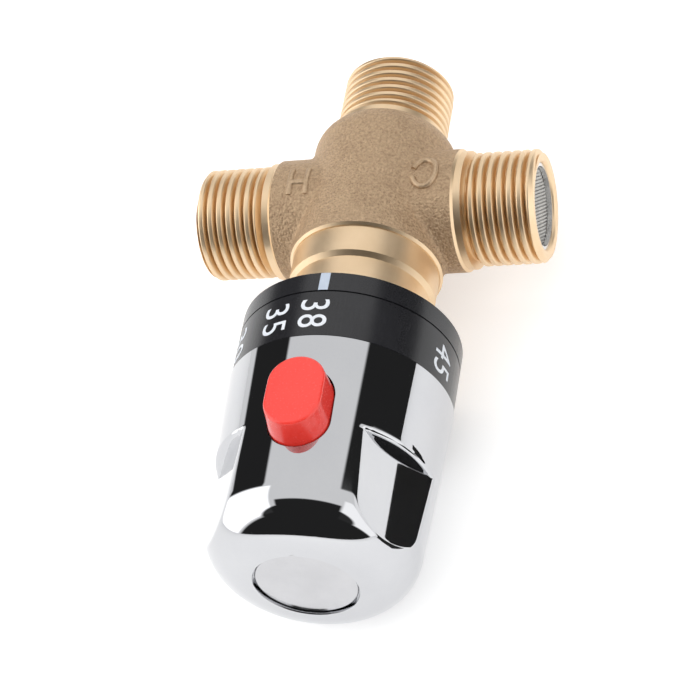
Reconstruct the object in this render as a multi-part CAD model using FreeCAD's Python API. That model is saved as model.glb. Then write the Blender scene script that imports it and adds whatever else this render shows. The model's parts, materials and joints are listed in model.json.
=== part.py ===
"""Thermostatic mixing valve with three male G 1/2 ports and a safety knob.

Frame: Y is the barrel axis, +Y leaves through the mixed outlet, -Y goes to the knob.
X is the inlet axis, -X hot and +X cold. +Z passes through the index mark and the button.
The origin is on the barrel axis, half way along the outlet thread.

Places along the barrel are stations: the distance from the outlet's end face.
Places along an inlet are reaches: the distance from the barrel axis. All in millimetres.
"""
import FreeCAD, Part
import math
import os
from FreeCAD import Rotation, Vector

# Ports, all three alike: G 1/2 male thread, drawn at its major diameter
THREAD_D = 20.955
THREAD_ROOT_D = 18.631
THREAD_CHAMFER = 0.8
THREAD_LENGTH = 12.4
RELIEF_WIDTH = 0.9
BAND_LENGTH = 1.3
BAND_STEP = 0.45
PORT_BORE_D = 16.0
BORE_CHAMFER = 0.45

# Cast body
INLET_STATION = 31.5
INLET_REACH = 32.3
ARM_D = 22.8
BARREL_D = 27.4
DOME_GAP = 0.6
DOME_RADIUS = 6.0
FLARE_STEP = 0.45
FLARE_LENGTH = 10.9
CAST_NECK_LENGTH = 13.4
FLARE_CHAMFER = 0.45
ARM_FILLET = 1.2

# Turned neck
NECK_STEP = 0.65
NECK_LENGTH = 5.5
COLLAR_STEP = 0.8
COLLAR_LENGTH = 12.6

# Body bores
CHAMBER_D = 19.6
CHAMBER_DEPTH = 15.0
NUT_THREAD_D = 21.2
NUT_BORE_DEPTH = 21.0
CHECK_BORE_DEPTH = 19.7
CHECK_SHOULDER = 1.2

# Clearances, radial for rounds
SLIDE_GAP = 0.05
LOOSE_GAP = 0.1
FREE_GAP = 0.3

# Strainer and check valve of each inlet
STRAINER_RECESS = 0.6
STRAINER_RING_DEPTH = 2.2
STRAINER_RING_WALL = 0.6
MESH_RECESS = 0.9
MESH_THICKNESS = 0.3
CHECK_LENGTH = 14.6
CHECK_WALL = 1.1
CHECK_LIP = 1.85
CHECK_SEAT_THICKNESS = 2.0
GUIDE_THICKNESS = 1.6
GUIDE_RIM = 0.8
GUIDE_HUB_D = 5.0
GUIDE_HUB_LENGTH = 3.2
GUIDE_SPOKES = 3
SPOKE_WIDTH = 1.6
POPPET_LAND = 0.7
POPPET_HEAD_THICKNESS = 1.6
POPPET_NOSE = 0.6
POPPET_STEM_D = 2.5
POPPET_STEM_SETBACK = 0.4
CHECK_SPRING_D = 7.0
CHECK_SPRING_WIRE = 0.5
CHECK_SPRING_TURNS = 4

# Cartridge sleeve, in the chamber
SLEEVE_WALL = 1.6
SLEEVE_FLOOR = 1.5
SLEEVE_OUTLET_D = 9.4
SLEEVE_GUIDE_D = 9.0
WINDOW_LENGTH = 4.0
WINDOW_OFFSET = 5.1
WINDOW_WIDTH = 12.0
O_RING_GROOVE_WIDTH = 1.5
O_RING_WIRE = 1.1
SLEEVE_SEAL_INSET = 3.3

# Shuttle and wax element
SHUTTLE_LENGTH = 9.0
SHUTTLE_WALL = 1.1
SHUTTLE_HUB_D = 9.6
SHUTTLE_HUB_INSET = 3.0
SHUTTLE_HUB_LENGTH = 3.6
SHUTTLE_SPOKES = 4
BULB_D = 6.8
BULB_LENGTH = 11.8
BULB_CHAMFER = 0.6
BULB_FLANGE_D = 8.6
BULB_FLANGE_THICKNESS = 1.4
ELEMENT_STEM_D = 4.4
ELEMENT_STEM_LENGTH = 10.5
PISTON_D = 2.0
PISTON_ENGAGEMENT = 5.0
PISTON_STROKE = 3.0
RETURN_SPRING_D = 12.4
RETURN_SPRING_WIRE = 0.9
RETURN_SPRING_TURNS = 5

# Pusher and its overtravel spring
PUSHER_D = 13.0
PUSHER_TRAVEL_ROOM = 1.6
PUSHER_LENGTH = 10.4
PUSHER_WALL = 1.1
PUSHER_FLOOR = 1.5
PUSHER_KEY_WIDTH = 1.8
PUSHER_KEY_HEIGHT = 0.8
PUSHER_STUD_D = 5.0
PUSHER_STUD_LENGTH = 10.0
SNAP_RING_THICKNESS = 0.8
SNAP_RING_INSET = 0.35
SNAP_RING_BITE = 0.45
SNAP_RING_LIP = 0.8
SNAP_RING_MOUTH = 2.0
PLUNGER_THICKNESS = 1.6
PLUNGER_SOCKET_DEPTH = 0.6
OVERTRAVEL_SPRING_D = 8.0
OVERTRAVEL_SPRING_WIRE = 1.0
OVERTRAVEL_SPRING_TURNS = 3

# Bonnet nut that closes the body, and the stop ring on its hexagon
CLAMP_LIP_THICKNESS = 1.0
BONNET_FLANGE_STEP = 0.5
BONNET_FLANGE_THICKNESS = 1.2
BONNET_CAVITY_DEPTH = 15.0
BONNET_HEX_FLATS = 18.0
BONNET_HEX_LENGTH = 2.4
BONNET_NOSE_D = 12.4
BONNET_NOSE_LENGTH = 5.4
BONNET_SEAL_INSET = 1.0
STOP_RING_D = 26.2
STOP_LUG_HEIGHT = 2.2
STOP_LUG_ROOT = 1.0
STOP_TAB_LENGTH = 2.9
STOP_TAB_DEG = 9.0

# Spindle
SPINDLE_D = 8.0
SPINDLE_FLANGE_GAP = 0.7
SPINDLE_FLANGE_THICKNESS = 1.5
SPINDLE_STUD_ROOM = 3.0
SPINDLE_SEAL_SPACING = 2.4
SPINDLE_SEAL_INSET = 2.0
SPINDLE_SEAL_WIRE = 1.0
CLIP_WIDTH = 1.5
CLIP_BITE = 0.6
CLIP_THICKNESS = 0.8
CLIP_MOUTH_DEG = 70.0
SPLINE_TEETH = 20
SPLINE_DEPTH = 0.5
SCREW_D = 4.0
SCREW_LENGTH = 8.0
SCREW_HEAD_D = 7.0
SCREW_HEAD_HEIGHT = 2.2
SCREW_SLOT_WIDTH = 1.0
SCREW_SLOT_DEPTH = 1.0

# Knob shell
KNOB_TOP_D = 40.4
KNOB_TAPER = 1.75
KNOB_LENGTH = 37.8
KNOB_TOP_CHAMFER = 0.35
KNOB_SHOULDER = 8.8
KNOB_WALL = 1.6
KNOB_CROWN = 8.2
CROWN_CHAMFER = 1.5
SKIRT_WALL = 0.8
SKIRT_SETBACK = 1.0
HUB_SETBACK = 1.2
HUB_WALL = 1.8
INSERT_D = 12.0
INSERT_LENGTH = 13.4
INSERT_FLOOR = 1.6
SCREW_ACCESS_GAP = 1.1
GRIP_LENGTH = 20.8
GRIP_DEPTH = 3.0
GRIP_COUNT = 3
GRIP_FIRST_DEG = 60.0
GRIP_EDGE = 0.4
DISC_D = 17.8
DISC_GROOVE = 0.3
DISC_THICKNESS = 1.4
DISC_SKIRT_STEP = 1.2
DISC_SKIRT_WALL = 1.0
DISC_SKIRT_LENGTH = 5.0

# Rings outside the neck
INDEX_OVERLAP = 2.1
INDEX_LENGTH = 3.8
INDEX_WEB = 2.1
RING_SETBACK = 0.3
RING_WALL = 1.7
GRADUATED_LENGTH = 9.4

# Safety button
BUTTON_INSET = 7.2
BUTTON_LENGTH = 15.2
BUTTON_WIDTH = 10.6
BUTTON_HEIGHT = 3.8
BUTTON_SIDE_DRAFT = 0.35
BUTTON_TOP_DRAFT = 0.3
BUTTON_END_DRAFT = 1.0
BUTTON_EDGE = 0.5
BUTTON_SHANK = 1.2
BUTTON_FLANGE_MARGIN = 0.9
BUTTON_FLANGE_THICKNESS = 1.4
CATCH_WIDTH = 5.0
CATCH_OVERLAP = 2.1
CATCH_THICKNESS = 2.2
BUTTON_SPRING_D = 4.4
BUTTON_SPRING_WIRE = 0.5
BUTTON_SPRING_TURNS = 4
SPRING_SEAT_DEPTH = 0.8

# Travel of the knob either way from its stop
COLD_TURN_DEG = 145.0
HOT_TURN_DEG = 125.0

# The index mark, the stops and the knob are fitted turned this far from +Z, towards +X
MARK_DEG = 2.3

# Tools longer or wider than what they cut pass it by this much
OVERCUT = 1.0

# Body stations and diameters
INLETS = {"hot": -1, "cold": 1}
ORIGIN_STATION = (THREAD_CHAMFER + THREAD_LENGTH) / 2
BAND_D = ARM_D - 2 * BAND_STEP
ARM_REACH = INLET_REACH - THREAD_LENGTH - RELIEF_WIDTH - BAND_LENGTH
DOME_STATION = INLET_STATION - ARM_D / 2 - DOME_GAP - DOME_RADIUS
CAST_END = INLET_STATION + CAST_NECK_LENGTH
FLARE_STATION = CAST_END - FLARE_LENGTH
FLARE_D = BARREL_D + 2 * FLARE_STEP
NECK_D = FLARE_D - 2 * NECK_STEP
NECK_END = CAST_END + NECK_LENGTH
COLLAR_D = NECK_D - 2 * COLLAR_STEP
COLLAR_END = NECK_END + COLLAR_LENGTH
CHAMBER_START = CHAMBER_DEPTH
CHAMBER_END = COLLAR_END - NUT_BORE_DEPTH

# Inlet reaches and diameters
CHECK_START = INLET_REACH - CHECK_BORE_DEPTH
CHECK_END = CHECK_START + CHECK_LENGTH
CHECK_D = PORT_BORE_D - 2 * SLIDE_GAP
CHECK_THROAT_D = PORT_BORE_D - 2 * CHECK_SHOULDER
CHECK_INNER_D = CHECK_D - 2 * CHECK_WALL
CHECK_SEAT_D = CHECK_INNER_D - 2 * CHECK_LIP
SEAT_REACH = CHECK_END - CHECK_SEAT_THICKNESS
POPPET_FACE = SEAT_REACH + CHECK_LIP / 2 - FREE_GAP
POPPET_BACK = POPPET_FACE - POPPET_HEAD_THICKNESS
STRAINER_FRONT = INLET_REACH - STRAINER_RECESS

# Cartridge stations and diameters
SLEEVE_D = CHAMBER_D - 2 * SLIDE_GAP
SLEEVE_BORE_D = SLEEVE_D - 2 * SLEEVE_WALL
SLEEVE_SEAL_D = CHAMBER_D - 2 * O_RING_WIRE
SHUTTLE_D = SLEEVE_BORE_D - 2 * SLIDE_GAP
SHUTTLE_START = INLET_STATION - SHUTTLE_LENGTH / 2
SHUTTLE_HUB_START = SHUTTLE_START + SHUTTLE_HUB_INSET
ELEMENT_STEM_END = SHUTTLE_HUB_START + ELEMENT_STEM_LENGTH
PISTON_START = ELEMENT_STEM_END - PISTON_ENGAGEMENT
PUSHER_START = CHAMBER_END + PUSHER_TRAVEL_ROOM
PUSHER_END = PUSHER_START + PUSHER_LENGTH
PUSHER_BORE_D = PUSHER_D - 2 * PUSHER_WALL
SNAP_RING_START = PUSHER_START + SNAP_RING_INSET
PLUNGER_START = SNAP_RING_START + SNAP_RING_THICKNESS

# Bonnet and spindle stations and diameters
BONNET_THREAD_D = NUT_THREAD_D - 2 * LOOSE_GAP
BONNET_SEAL_D = NUT_THREAD_D - 2 * O_RING_WIRE - 2 * SLIDE_GAP
BONNET_SEAL_START = CHAMBER_END + BONNET_SEAL_INSET
BONNET_CAVITY_END = CHAMBER_END + BONNET_CAVITY_DEPTH
CLAMP_END = COLLAR_END + CLAMP_LIP_THICKNESS
BONNET_FLANGE_D = COLLAR_D - 2 * BONNET_FLANGE_STEP
BONNET_FLANGE_END = CLAMP_END + BONNET_FLANGE_THICKNESS
BONNET_HEX_END = BONNET_FLANGE_END + BONNET_HEX_LENGTH
BONNET_NOSE_END = BONNET_HEX_END + BONNET_NOSE_LENGTH
STOP_LUG_D = STOP_RING_D + 2 * STOP_LUG_HEIGHT
SPINDLE_BORE_D = SPINDLE_D + 2 * SLIDE_GAP
SPINDLE_SEAL_D = SPINDLE_BORE_D - 2 * SPINDLE_SEAL_WIRE
SPINDLE_FLANGE_END = BONNET_CAVITY_END - FREE_GAP
SPINDLE_FLANGE_START = SPINDLE_FLANGE_END - SPINDLE_FLANGE_THICKNESS
SPINDLE_STUD_BORE_END = PUSHER_END + PUSHER_STUD_LENGTH + SPINDLE_STUD_ROOM
SPINDLE_SEAL_LAST = BONNET_NOSE_END - SPINDLE_SEAL_INSET
SPINDLE_SEALS = (SPINDLE_SEAL_LAST - SPINDLE_SEAL_SPACING, SPINDLE_SEAL_LAST)
CLIP_START = BONNET_NOSE_END + FREE_GAP
CLIP_INNER_D = SPINDLE_D - 2 * CLIP_BITE
SPLINE_START = CLIP_START + CLIP_THICKNESS + FREE_GAP

# Ring and knob stations and diameters
INDEX_START = COLLAR_END - INDEX_OVERLAP
INDEX_END = INDEX_START + INDEX_LENGTH
GRADUATED_START = INDEX_END + FREE_GAP
GRADUATED_END = GRADUATED_START + GRADUATED_LENGTH
KNOB_END = GRADUATED_END + KNOB_LENGTH
KNOB_END_D = KNOB_TOP_D - 2 * KNOB_TAPER
KNOB_FLOOR = KNOB_END - KNOB_CROWN
RING_D = KNOB_TOP_D - 2 * RING_SETBACK
RING_BORE_D = RING_D - 2 * RING_WALL
SKIRT_START = GRADUATED_START + SKIRT_SETBACK
SKIRT_D = RING_BORE_D - 2 * SLIDE_GAP
SKIRT_BORE_D = SKIRT_D - 2 * SKIRT_WALL
HUB_START = GRADUATED_END + HUB_SETBACK
HUB_D = INSERT_D + 2 * HUB_WALL
SPINDLE_END = HUB_START + INSERT_LENGTH
INSERT_END = SPINDLE_END + INSERT_FLOOR
SCREW_ACCESS_D = SCREW_HEAD_D + 2 * SCREW_ACCESS_GAP
GRIP_START = KNOB_END - GRIP_LENGTH
GRIP_DISTANCE = KNOB_TOP_D / 2 - GRIP_DEPTH
DISC_START = KNOB_END - DISC_THICKNESS
DISC_SKIRT_D = DISC_D - 2 * DISC_SKIRT_STEP

# Button stations and heights
BUTTON_START = GRADUATED_END + BUTTON_INSET
BUTTON_TOP = KNOB_TOP_D / 2 + BUTTON_HEIGHT
BUTTON_SHOULDER = KNOB_TOP_D / 2 - BUTTON_SHANK
BUTTON_FLANGE_WIDTH = BUTTON_WIDTH + 2 * BUTTON_FLANGE_MARGIN
BUTTON_CEILING = GRIP_DISTANCE - KNOB_WALL - FREE_GAP
BUTTON_FLANGE_TOP = math.sqrt(BUTTON_CEILING ** 2 - (BUTTON_FLANGE_WIDTH / 2) ** 2)
BUTTON_FLANGE_LOW = BUTTON_FLANGE_TOP - BUTTON_FLANGE_THICKNESS
BUTTON_MIDDLE = BUTTON_START + BUTTON_LENGTH / 2
CATCH_TOP = STOP_RING_D / 2 + CATCH_OVERLAP
CATCH_START = BONNET_HEX_END + FREE_GAP
SPRING_SEAT_HEIGHT = HUB_D / 2 - SPRING_SEAT_DEPTH


def at(station):
    """Return the Y of a station."""
    return ORIGIN_STATION - station


def revolved(points, axis):
    """Revolve a closed polygon about an axis through the origin."""
    face = Part.Face(Part.makePolygon(points + points[:1]))
    return face.revolve(Vector(0, 0, 0), axis, 360)


def turned(profile):
    """Turn (radius, station) corners about the barrel axis."""
    return revolved([Vector(radius, at(station), 0) for radius, station in profile], Vector(0, 1, 0))


def disc(diameter, start, end):
    """Make a solid round on the barrel axis."""
    return turned([(0, start), (diameter / 2, start), (diameter / 2, end), (0, end)])


def tube(outer, inner, start, end):
    """Make a plain ring on the barrel axis."""
    return turned([(inner / 2, start), (outer / 2, start), (outer / 2, end), (inner / 2, end)])


def inlet_turned(profile, side):
    """Turn (radius, reach) corners about the inlet axis of one side."""
    points = [Vector(side * reach, radius, 0) for radius, reach in profile]
    solid = revolved(points, Vector(1, 0, 0))
    solid.translate(Vector(0, at(INLET_STATION), 0))
    return solid


def inlet_tube(outer, inner, start, end, side):
    """Make a plain ring on the inlet axis."""
    return inlet_turned([(inner / 2, start), (outer / 2, start), (outer / 2, end), (inner / 2, end)], side)


def block(x_range, stations, z_range):
    """Make a box between two X values, two stations and two Z values."""
    length = abs(stations[1] - stations[0])
    corner = Vector(min(x_range), at(max(stations)), min(z_range))
    return Part.makeBox(abs(x_range[1] - x_range[0]), length, abs(z_range[1] - z_range[0]), corner)


def turned_by(shape, degrees):
    """Return a copy turned about the barrel axis, from +Z towards +X."""
    copy = shape.copy()
    copy.rotate(Vector(0, 0, 0), Vector(0, 1, 0), degrees)
    return copy


def circles(shape, diameter, station):
    """Find the circular edges of one diameter at one station."""
    found = []
    for edge in shape.Edges:
        curve = edge.Curve
        if isinstance(curve, Part.Circle) and abs(2 * curve.Radius - diameter) < 0.02:
            if abs(curve.Center.y - at(station)) < 0.02:
                found.append(edge)
    return found


def coil(diameter, wire, length, turns):
    """Make a compression spring along +Z from the origin, its ends flat in the seats."""
    rise = length - wire
    path = Part.makeHelix(rise / turns, rise, diameter / 2)
    start = Vector(diameter / 2, 0, 0)
    section = Part.makePolygon([start + Vector(wire / 2 * math.cos(turn), 0, wire / 2 * math.sin(turn))
                                for turn in [math.radians(45 + 90 * k) for k in range(4)] + [math.radians(45)]])
    spring = Part.Wire(path.Edges).makePipeShell([section], True, True)
    spring.translate(Vector(0, 0, wire / 2))
    return Part.Solid(Part.Shell(spring.Faces)) if spring.ShapeType != "Solid" else spring


def o_ring(inner, wire, station):
    """Make an O-ring on the barrel axis from its inside diameter."""
    return Part.makeTorus(inner / 2 + wire / 2, wire / 2, Vector(0, at(station), 0), Vector(0, 1, 0))


def sector(outer, inner, stations, start_deg, sweep_deg):
    """Make a part of a ring, its angles counted from +Z towards +X."""
    low, high = min(at(s) for s in stations), max(at(s) for s in stations)
    first = Vector(0, low, 1)
    points = [Vector(inner / 2 * first.x, low, inner / 2), Vector(0, low, outer / 2),
              Vector(0, high, outer / 2), Vector(0, high, inner / 2)]
    face = Part.Face(Part.makePolygon(points + points[:1]))
    solid = face.revolve(Vector(0, 0, 0), Vector(0, 1, 0), sweep_deg)
    return turned_by(solid, start_deg)


def oblong(width, start, length, z):
    """Make an oblong wire with round ends, in a level plane across the button."""
    radius = width / 2
    top, bottom = at(start), at(start + length)
    right_top, right_bottom = Vector(radius, top - radius, z), Vector(radius, bottom + radius, z)
    left_top, left_bottom = Vector(-radius, top - radius, z), Vector(-radius, bottom + radius, z)
    return Part.Wire([
        Part.LineSegment(right_bottom, right_top).toShape(),
        Part.Arc(right_top, Vector(0, top, z), left_top).toShape(),
        Part.LineSegment(left_top, left_bottom).toShape(),
        Part.Arc(left_bottom, Vector(0, bottom, z), right_bottom).toShape()])


def oblong_prism(width, start, length, low, high):
    """Make a straight oblong solid between two heights."""
    return Part.Face(oblong(width, start, length, low)).extrude(Vector(0, 0, high - low))


def port_profile(depth):
    """Return (radius, distance from the end face) corners of a threaded port."""
    radius, root = THREAD_D / 2, THREAD_ROOT_D / 2
    groove = THREAD_LENGTH + RELIEF_WIDTH
    return [(0, 0), (radius - THREAD_CHAMFER, 0), (radius, THREAD_CHAMFER), (radius, THREAD_LENGTH),
            (root, THREAD_LENGTH + RELIEF_WIDTH / 2), (root, groove), (BAND_D / 2, groove),
            (BAND_D / 2, depth), (0, depth)]


def bore_profile(depth):
    """Return (radius, distance from the end face) corners of a port's bore."""
    radius = PORT_BORE_D / 2
    return [(0, -OVERCUT), (radius + BORE_CHAMFER + OVERCUT, -OVERCUT), (radius, BORE_CHAMFER),
            (radius, depth), (0, depth)]


def valve_body():
    """Cast barrel and arms, turned ports, neck and bores, in one piece."""
    flare = FLARE_D / 2
    barrel = turned([(0, DOME_STATION), (BARREL_D / 2, DOME_STATION), (BARREL_D / 2, FLARE_STATION),
                     (flare, CAST_END - FLARE_CHAMFER), (flare - FLARE_CHAMFER, CAST_END), (0, CAST_END)])
    barrel = barrel.makeFillet(DOME_RADIUS, circles(barrel, BARREL_D, DOME_STATION))
    arms = [inlet_turned([(0, 0), (ARM_D / 2, 0), (ARM_D / 2, INLET_REACH), (0, INLET_REACH)], side)
            for side in INLETS.values()]
    cast = barrel.multiFuse(arms).removeSplitter()
    seams = [edge for edge in cast.Edges if not isinstance(edge.Curve, (Part.Circle, Part.Line))]
    stock = BARREL_D  # wider than the arm and its fillet
    machined = [inlet_turned([(BAND_D / 2, ARM_REACH), (ARM_D / 2, ARM_REACH - BAND_STEP), (stock, ARM_REACH - BAND_STEP),
                              (stock, INLET_REACH + OVERCUT), (0, INLET_REACH + OVERCUT), (0, ARM_REACH)], side)
                for side in INLETS.values()]
    cast = cast.makeFillet(ARM_FILLET, seams).cut(machined)
    outlet = turned(port_profile(INLET_STATION))
    inlets = [inlet_turned([(radius, INLET_REACH - depth) for radius, depth in port_profile(INLET_REACH)], side)
              for side in INLETS.values()]
    neck = turned([(0, INLET_STATION), (NECK_D / 2, INLET_STATION), (NECK_D / 2, NECK_END),
                   (COLLAR_D / 2, NECK_END + COLLAR_STEP), (COLLAR_D / 2, COLLAR_END), (0, COLLAR_END)])
    body = cast.multiFuse([outlet, neck] + inlets).removeSplitter()
    bores = [turned(bore_profile(CHAMBER_START)),
             disc(CHAMBER_D, CHAMBER_START, CHAMBER_END),
             disc(NUT_THREAD_D, CHAMBER_END, COLLAR_END)]
    for side in INLETS.values():
        corners = [(radius, INLET_REACH - depth) for radius, depth in bore_profile(CHECK_BORE_DEPTH)]
        bores.append(inlet_turned(corners, side))
        bores.append(inlet_tube(CHECK_THROAT_D, 0, CHAMBER_D / 4, CHECK_START, side))
    return body.cut(bores)


def strainer_ring(side):
    """Steel ring that holds the strainer's mesh at the mouth of an inlet."""
    bore = CHECK_D - 2 * STRAINER_RING_WALL
    ring = inlet_tube(CHECK_D, bore, STRAINER_FRONT - STRAINER_RING_DEPTH, STRAINER_FRONT, side)
    return ring.cut(strainer_mesh(side))


def strainer_mesh(side):
    """Woven strainer, as a thin disc crimped into its ring."""
    front = STRAINER_FRONT - MESH_RECESS
    return inlet_tube(CHECK_D - STRAINER_RING_WALL, 0, front - MESH_THICKNESS, front, side)


def check_housing(side):
    """Moulded shell of the check valve, with its seat towards the inlet."""
    bore, seat = CHECK_INNER_D / 2, CHECK_SEAT_D / 2
    return inlet_turned([(bore, CHECK_START), (CHECK_D / 2, CHECK_START), (CHECK_D / 2, CHECK_END),
                         (seat, CHECK_END), (seat, SEAT_REACH + CHECK_LIP / 2),
                         (bore, SEAT_REACH - CHECK_LIP / 2)], side)


def spokes(count, length, width, stations):
    """Make radial bars about the barrel axis, the first along +Z."""
    bars = []
    for index in range(count):
        bar = block((-width / 2, width / 2), stations, (0, length))
        bars.append(turned_by(bar, index * 360 / count))
    return bars


def check_guide(side):
    """Spider that guides the poppet's stem and carries its spring."""
    rim = CHECK_INNER_D
    end = CHECK_START + GUIDE_THICKNESS
    ring = inlet_tube(rim, rim - 2 * GUIDE_RIM, CHECK_START, end, side)
    hub = inlet_tube(GUIDE_HUB_D, 0, CHECK_START, CHECK_START + GUIDE_HUB_LENGTH, side)
    bars = []
    for index in range(GUIDE_SPOKES):
        bar = Part.makeBox(GUIDE_THICKNESS, SPOKE_WIDTH, (rim - GUIDE_RIM) / 2,
                           Vector(CHECK_START, -SPOKE_WIDTH / 2, 0))
        bar.rotate(Vector(0, 0, 0), Vector(1, 0, 0), index * 360 / GUIDE_SPOKES)
        if side < 0:
            bar = bar.mirror(Vector(0, 0, 0), Vector(1, 0, 0))
        bar.translate(Vector(0, at(INLET_STATION), 0))
        bars.append(bar)
    bore = inlet_tube(POPPET_STEM_D + 2 * LOOSE_GAP, 0, CHECK_START, CHECK_END, side)
    return ring.multiFuse([hub] + bars).cut(bore).removeSplitter()


def check_poppet(side):
    """Poppet closed on its seat; it opens by sliding inwards."""
    nose, stem = CHECK_SEAT_D / 2 - FREE_GAP, POPPET_STEM_D / 2
    front, tail = POPPET_FACE + POPPET_NOSE, CHECK_START + POPPET_STEM_SETBACK
    return inlet_turned([(0, front), (nose, front), (nose, POPPET_FACE),
                         (nose + POPPET_LAND, POPPET_FACE - POPPET_LAND), (nose + POPPET_LAND, POPPET_BACK),
                         (stem, POPPET_BACK), (stem, tail), (0, tail)], side)


def check_spring(side):
    """Spring between the guide's rim and the poppet's head."""
    start = CHECK_START + GUIDE_THICKNESS
    spring = coil(CHECK_SPRING_D, CHECK_SPRING_WIRE, POPPET_BACK - start, CHECK_SPRING_TURNS)
    spring.rotate(Vector(0, 0, 0), Vector(0, 1, 0), side * 90)
    spring.translate(Vector(side * start, at(INLET_STATION), 0))
    return spring


def cartridge_sleeve():
    """Sleeve in the chamber, with a window for each inlet and a seat for the return spring."""
    bore = SLEEVE_BORE_D / 2
    sleeve = turned([(SLEEVE_OUTLET_D / 2, CHAMBER_START), (SLEEVE_D / 2, CHAMBER_START),
                     (SLEEVE_D / 2, CHAMBER_END), (SLEEVE_GUIDE_D / 2, CHAMBER_END),
                     (SLEEVE_GUIDE_D / 2, CHAMBER_END - SLEEVE_FLOOR), (bore, CHAMBER_END - SLEEVE_FLOOR),
                     (bore, CHAMBER_START + SLEEVE_FLOOR), (SLEEVE_OUTLET_D / 2, CHAMBER_START + SLEEVE_FLOOR)])
    cuts = []
    for side in INLETS.values():
        start = INLET_STATION + side * WINDOW_OFFSET - WINDOW_LENGTH / 2
        cuts.append(block((0, side * SLEEVE_D), (start, start + WINDOW_LENGTH),
                          (-WINDOW_WIDTH / 2, WINDOW_WIDTH / 2)))
    for station in sleeve_seals():
        half = O_RING_GROOVE_WIDTH / 2
        cuts.append(tube(CHAMBER_D, SLEEVE_SEAL_D, station - half, station + half))
    return sleeve.cut(cuts)


def sleeve_seals():
    """Return the stations of the sleeve's O-rings."""
    return CHAMBER_START + SLEEVE_SEAL_INSET, CHAMBER_END - SLEEVE_SEAL_INSET


def sleeve_o_rings():
    """O-rings that seal the sleeve in the chamber."""
    return Part.makeCompound([o_ring(SLEEVE_SEAL_D, O_RING_WIRE, station) for station in sleeve_seals()])


def shuttle():
    """Spool that shares the flow between the two windows, with its spoked hub."""
    end = SHUTTLE_START + SHUTTLE_LENGTH
    inner = SHUTTLE_D - 2 * SHUTTLE_WALL
    ring = tube(SHUTTLE_D, inner, SHUTTLE_START, end)
    stations = (SHUTTLE_HUB_START, SHUTTLE_HUB_START + SHUTTLE_HUB_LENGTH)
    hub = disc(SHUTTLE_HUB_D, *stations)
    bars = spokes(SHUTTLE_SPOKES, inner / 2 + SHUTTLE_WALL / 2, SPOKE_WIDTH, stations)
    bore = disc(ELEMENT_STEM_D, *stations)
    return ring.multiFuse([hub] + bars).removeSplitter().cut(bore)


def wax_element():
    """Wax bulb with its flange and guide stem, bored for the piston."""
    bulb_start = SHUTTLE_HUB_START - BULB_LENGTH
    flange_start = SHUTTLE_HUB_START - BULB_FLANGE_THICKNESS
    body = turned([(0, bulb_start), (BULB_D / 2 - BULB_CHAMFER, bulb_start), (BULB_D / 2, bulb_start + BULB_CHAMFER),
                   (BULB_D / 2, flange_start), (BULB_FLANGE_D / 2, flange_start),
                   (BULB_FLANGE_D / 2, SHUTTLE_HUB_START), (ELEMENT_STEM_D / 2, SHUTTLE_HUB_START),
                   (ELEMENT_STEM_D / 2, ELEMENT_STEM_END), (0, ELEMENT_STEM_END)])
    return body.cut(disc(PISTON_D + 2 * SLIDE_GAP, PISTON_START - PISTON_STROKE, ELEMENT_STEM_END))


def return_spring():
    """Spring that pushes the shuttle back towards the knob."""
    start = CHAMBER_START + SLEEVE_FLOOR
    spring = coil(RETURN_SPRING_D, RETURN_SPRING_WIRE, SHUTTLE_HUB_START - start, RETURN_SPRING_TURNS)
    spring.rotate(Vector(0, 0, 0), Vector(1, 0, 0), 90)
    spring.translate(Vector(0, at(start), 0))
    return spring


def element_piston():
    """Piston of the wax element, its outer end in the plunger's socket."""
    return disc(PISTON_D, PISTON_START, PLUNGER_START + PLUNGER_SOCKET_DEPTH)


def pusher():
    """Keyed cup with a threaded stud: it slides as the spindle turns."""
    bore, stud = PUSHER_BORE_D / 2, PUSHER_STUD_D / 2
    floor = PUSHER_END - PUSHER_FLOOR
    cup = turned([(bore, PUSHER_START), (PUSHER_D / 2, PUSHER_START), (PUSHER_D / 2, PUSHER_END),
                  (stud, PUSHER_END), (stud, PUSHER_END + PUSHER_STUD_LENGTH),
                  (0, PUSHER_END + PUSHER_STUD_LENGTH), (0, floor), (bore, floor)])
    reach = PUSHER_D / 2 + PUSHER_KEY_HEIGHT
    half = PUSHER_KEY_WIDTH / 2
    keys = block((-reach, reach), (PUSHER_START, PUSHER_END), (-half, half)).cut(
        disc(PUSHER_D - PUSHER_WALL, PUSHER_START - OVERCUT, PUSHER_END + OVERCUT))
    groove = disc(PUSHER_BORE_D + 2 * SNAP_RING_BITE, SNAP_RING_START, PLUNGER_START)
    return cup.fuse(keys).removeSplitter().cut(groove)


def plunger_ring():
    """Snap ring that keeps the plunger in the pusher."""
    outer = PUSHER_BORE_D + 2 * SNAP_RING_BITE
    ring = tube(outer, PUSHER_BORE_D - 2 * SNAP_RING_LIP, SNAP_RING_START, PLUNGER_START)
    half = SNAP_RING_MOUTH / 2
    mouth = block((-half, half), (SNAP_RING_START, PLUNGER_START), (0, outer))
    return ring.cut(mouth)


def overtravel_plunger():
    """Plunger that yields when the element is overheated."""
    end = PLUNGER_START + PLUNGER_THICKNESS
    disc_part = disc(PUSHER_BORE_D - 2 * LOOSE_GAP, PLUNGER_START, end)
    nose = disc(OVERTRAVEL_SPRING_D - OVERTRAVEL_SPRING_WIRE - 2 * FREE_GAP, end, end + PLUNGER_THICKNESS)
    socket = disc(PISTON_D, PLUNGER_START, PLUNGER_START + PLUNGER_SOCKET_DEPTH)
    return disc_part.fuse(nose).removeSplitter().cut(socket)


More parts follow.
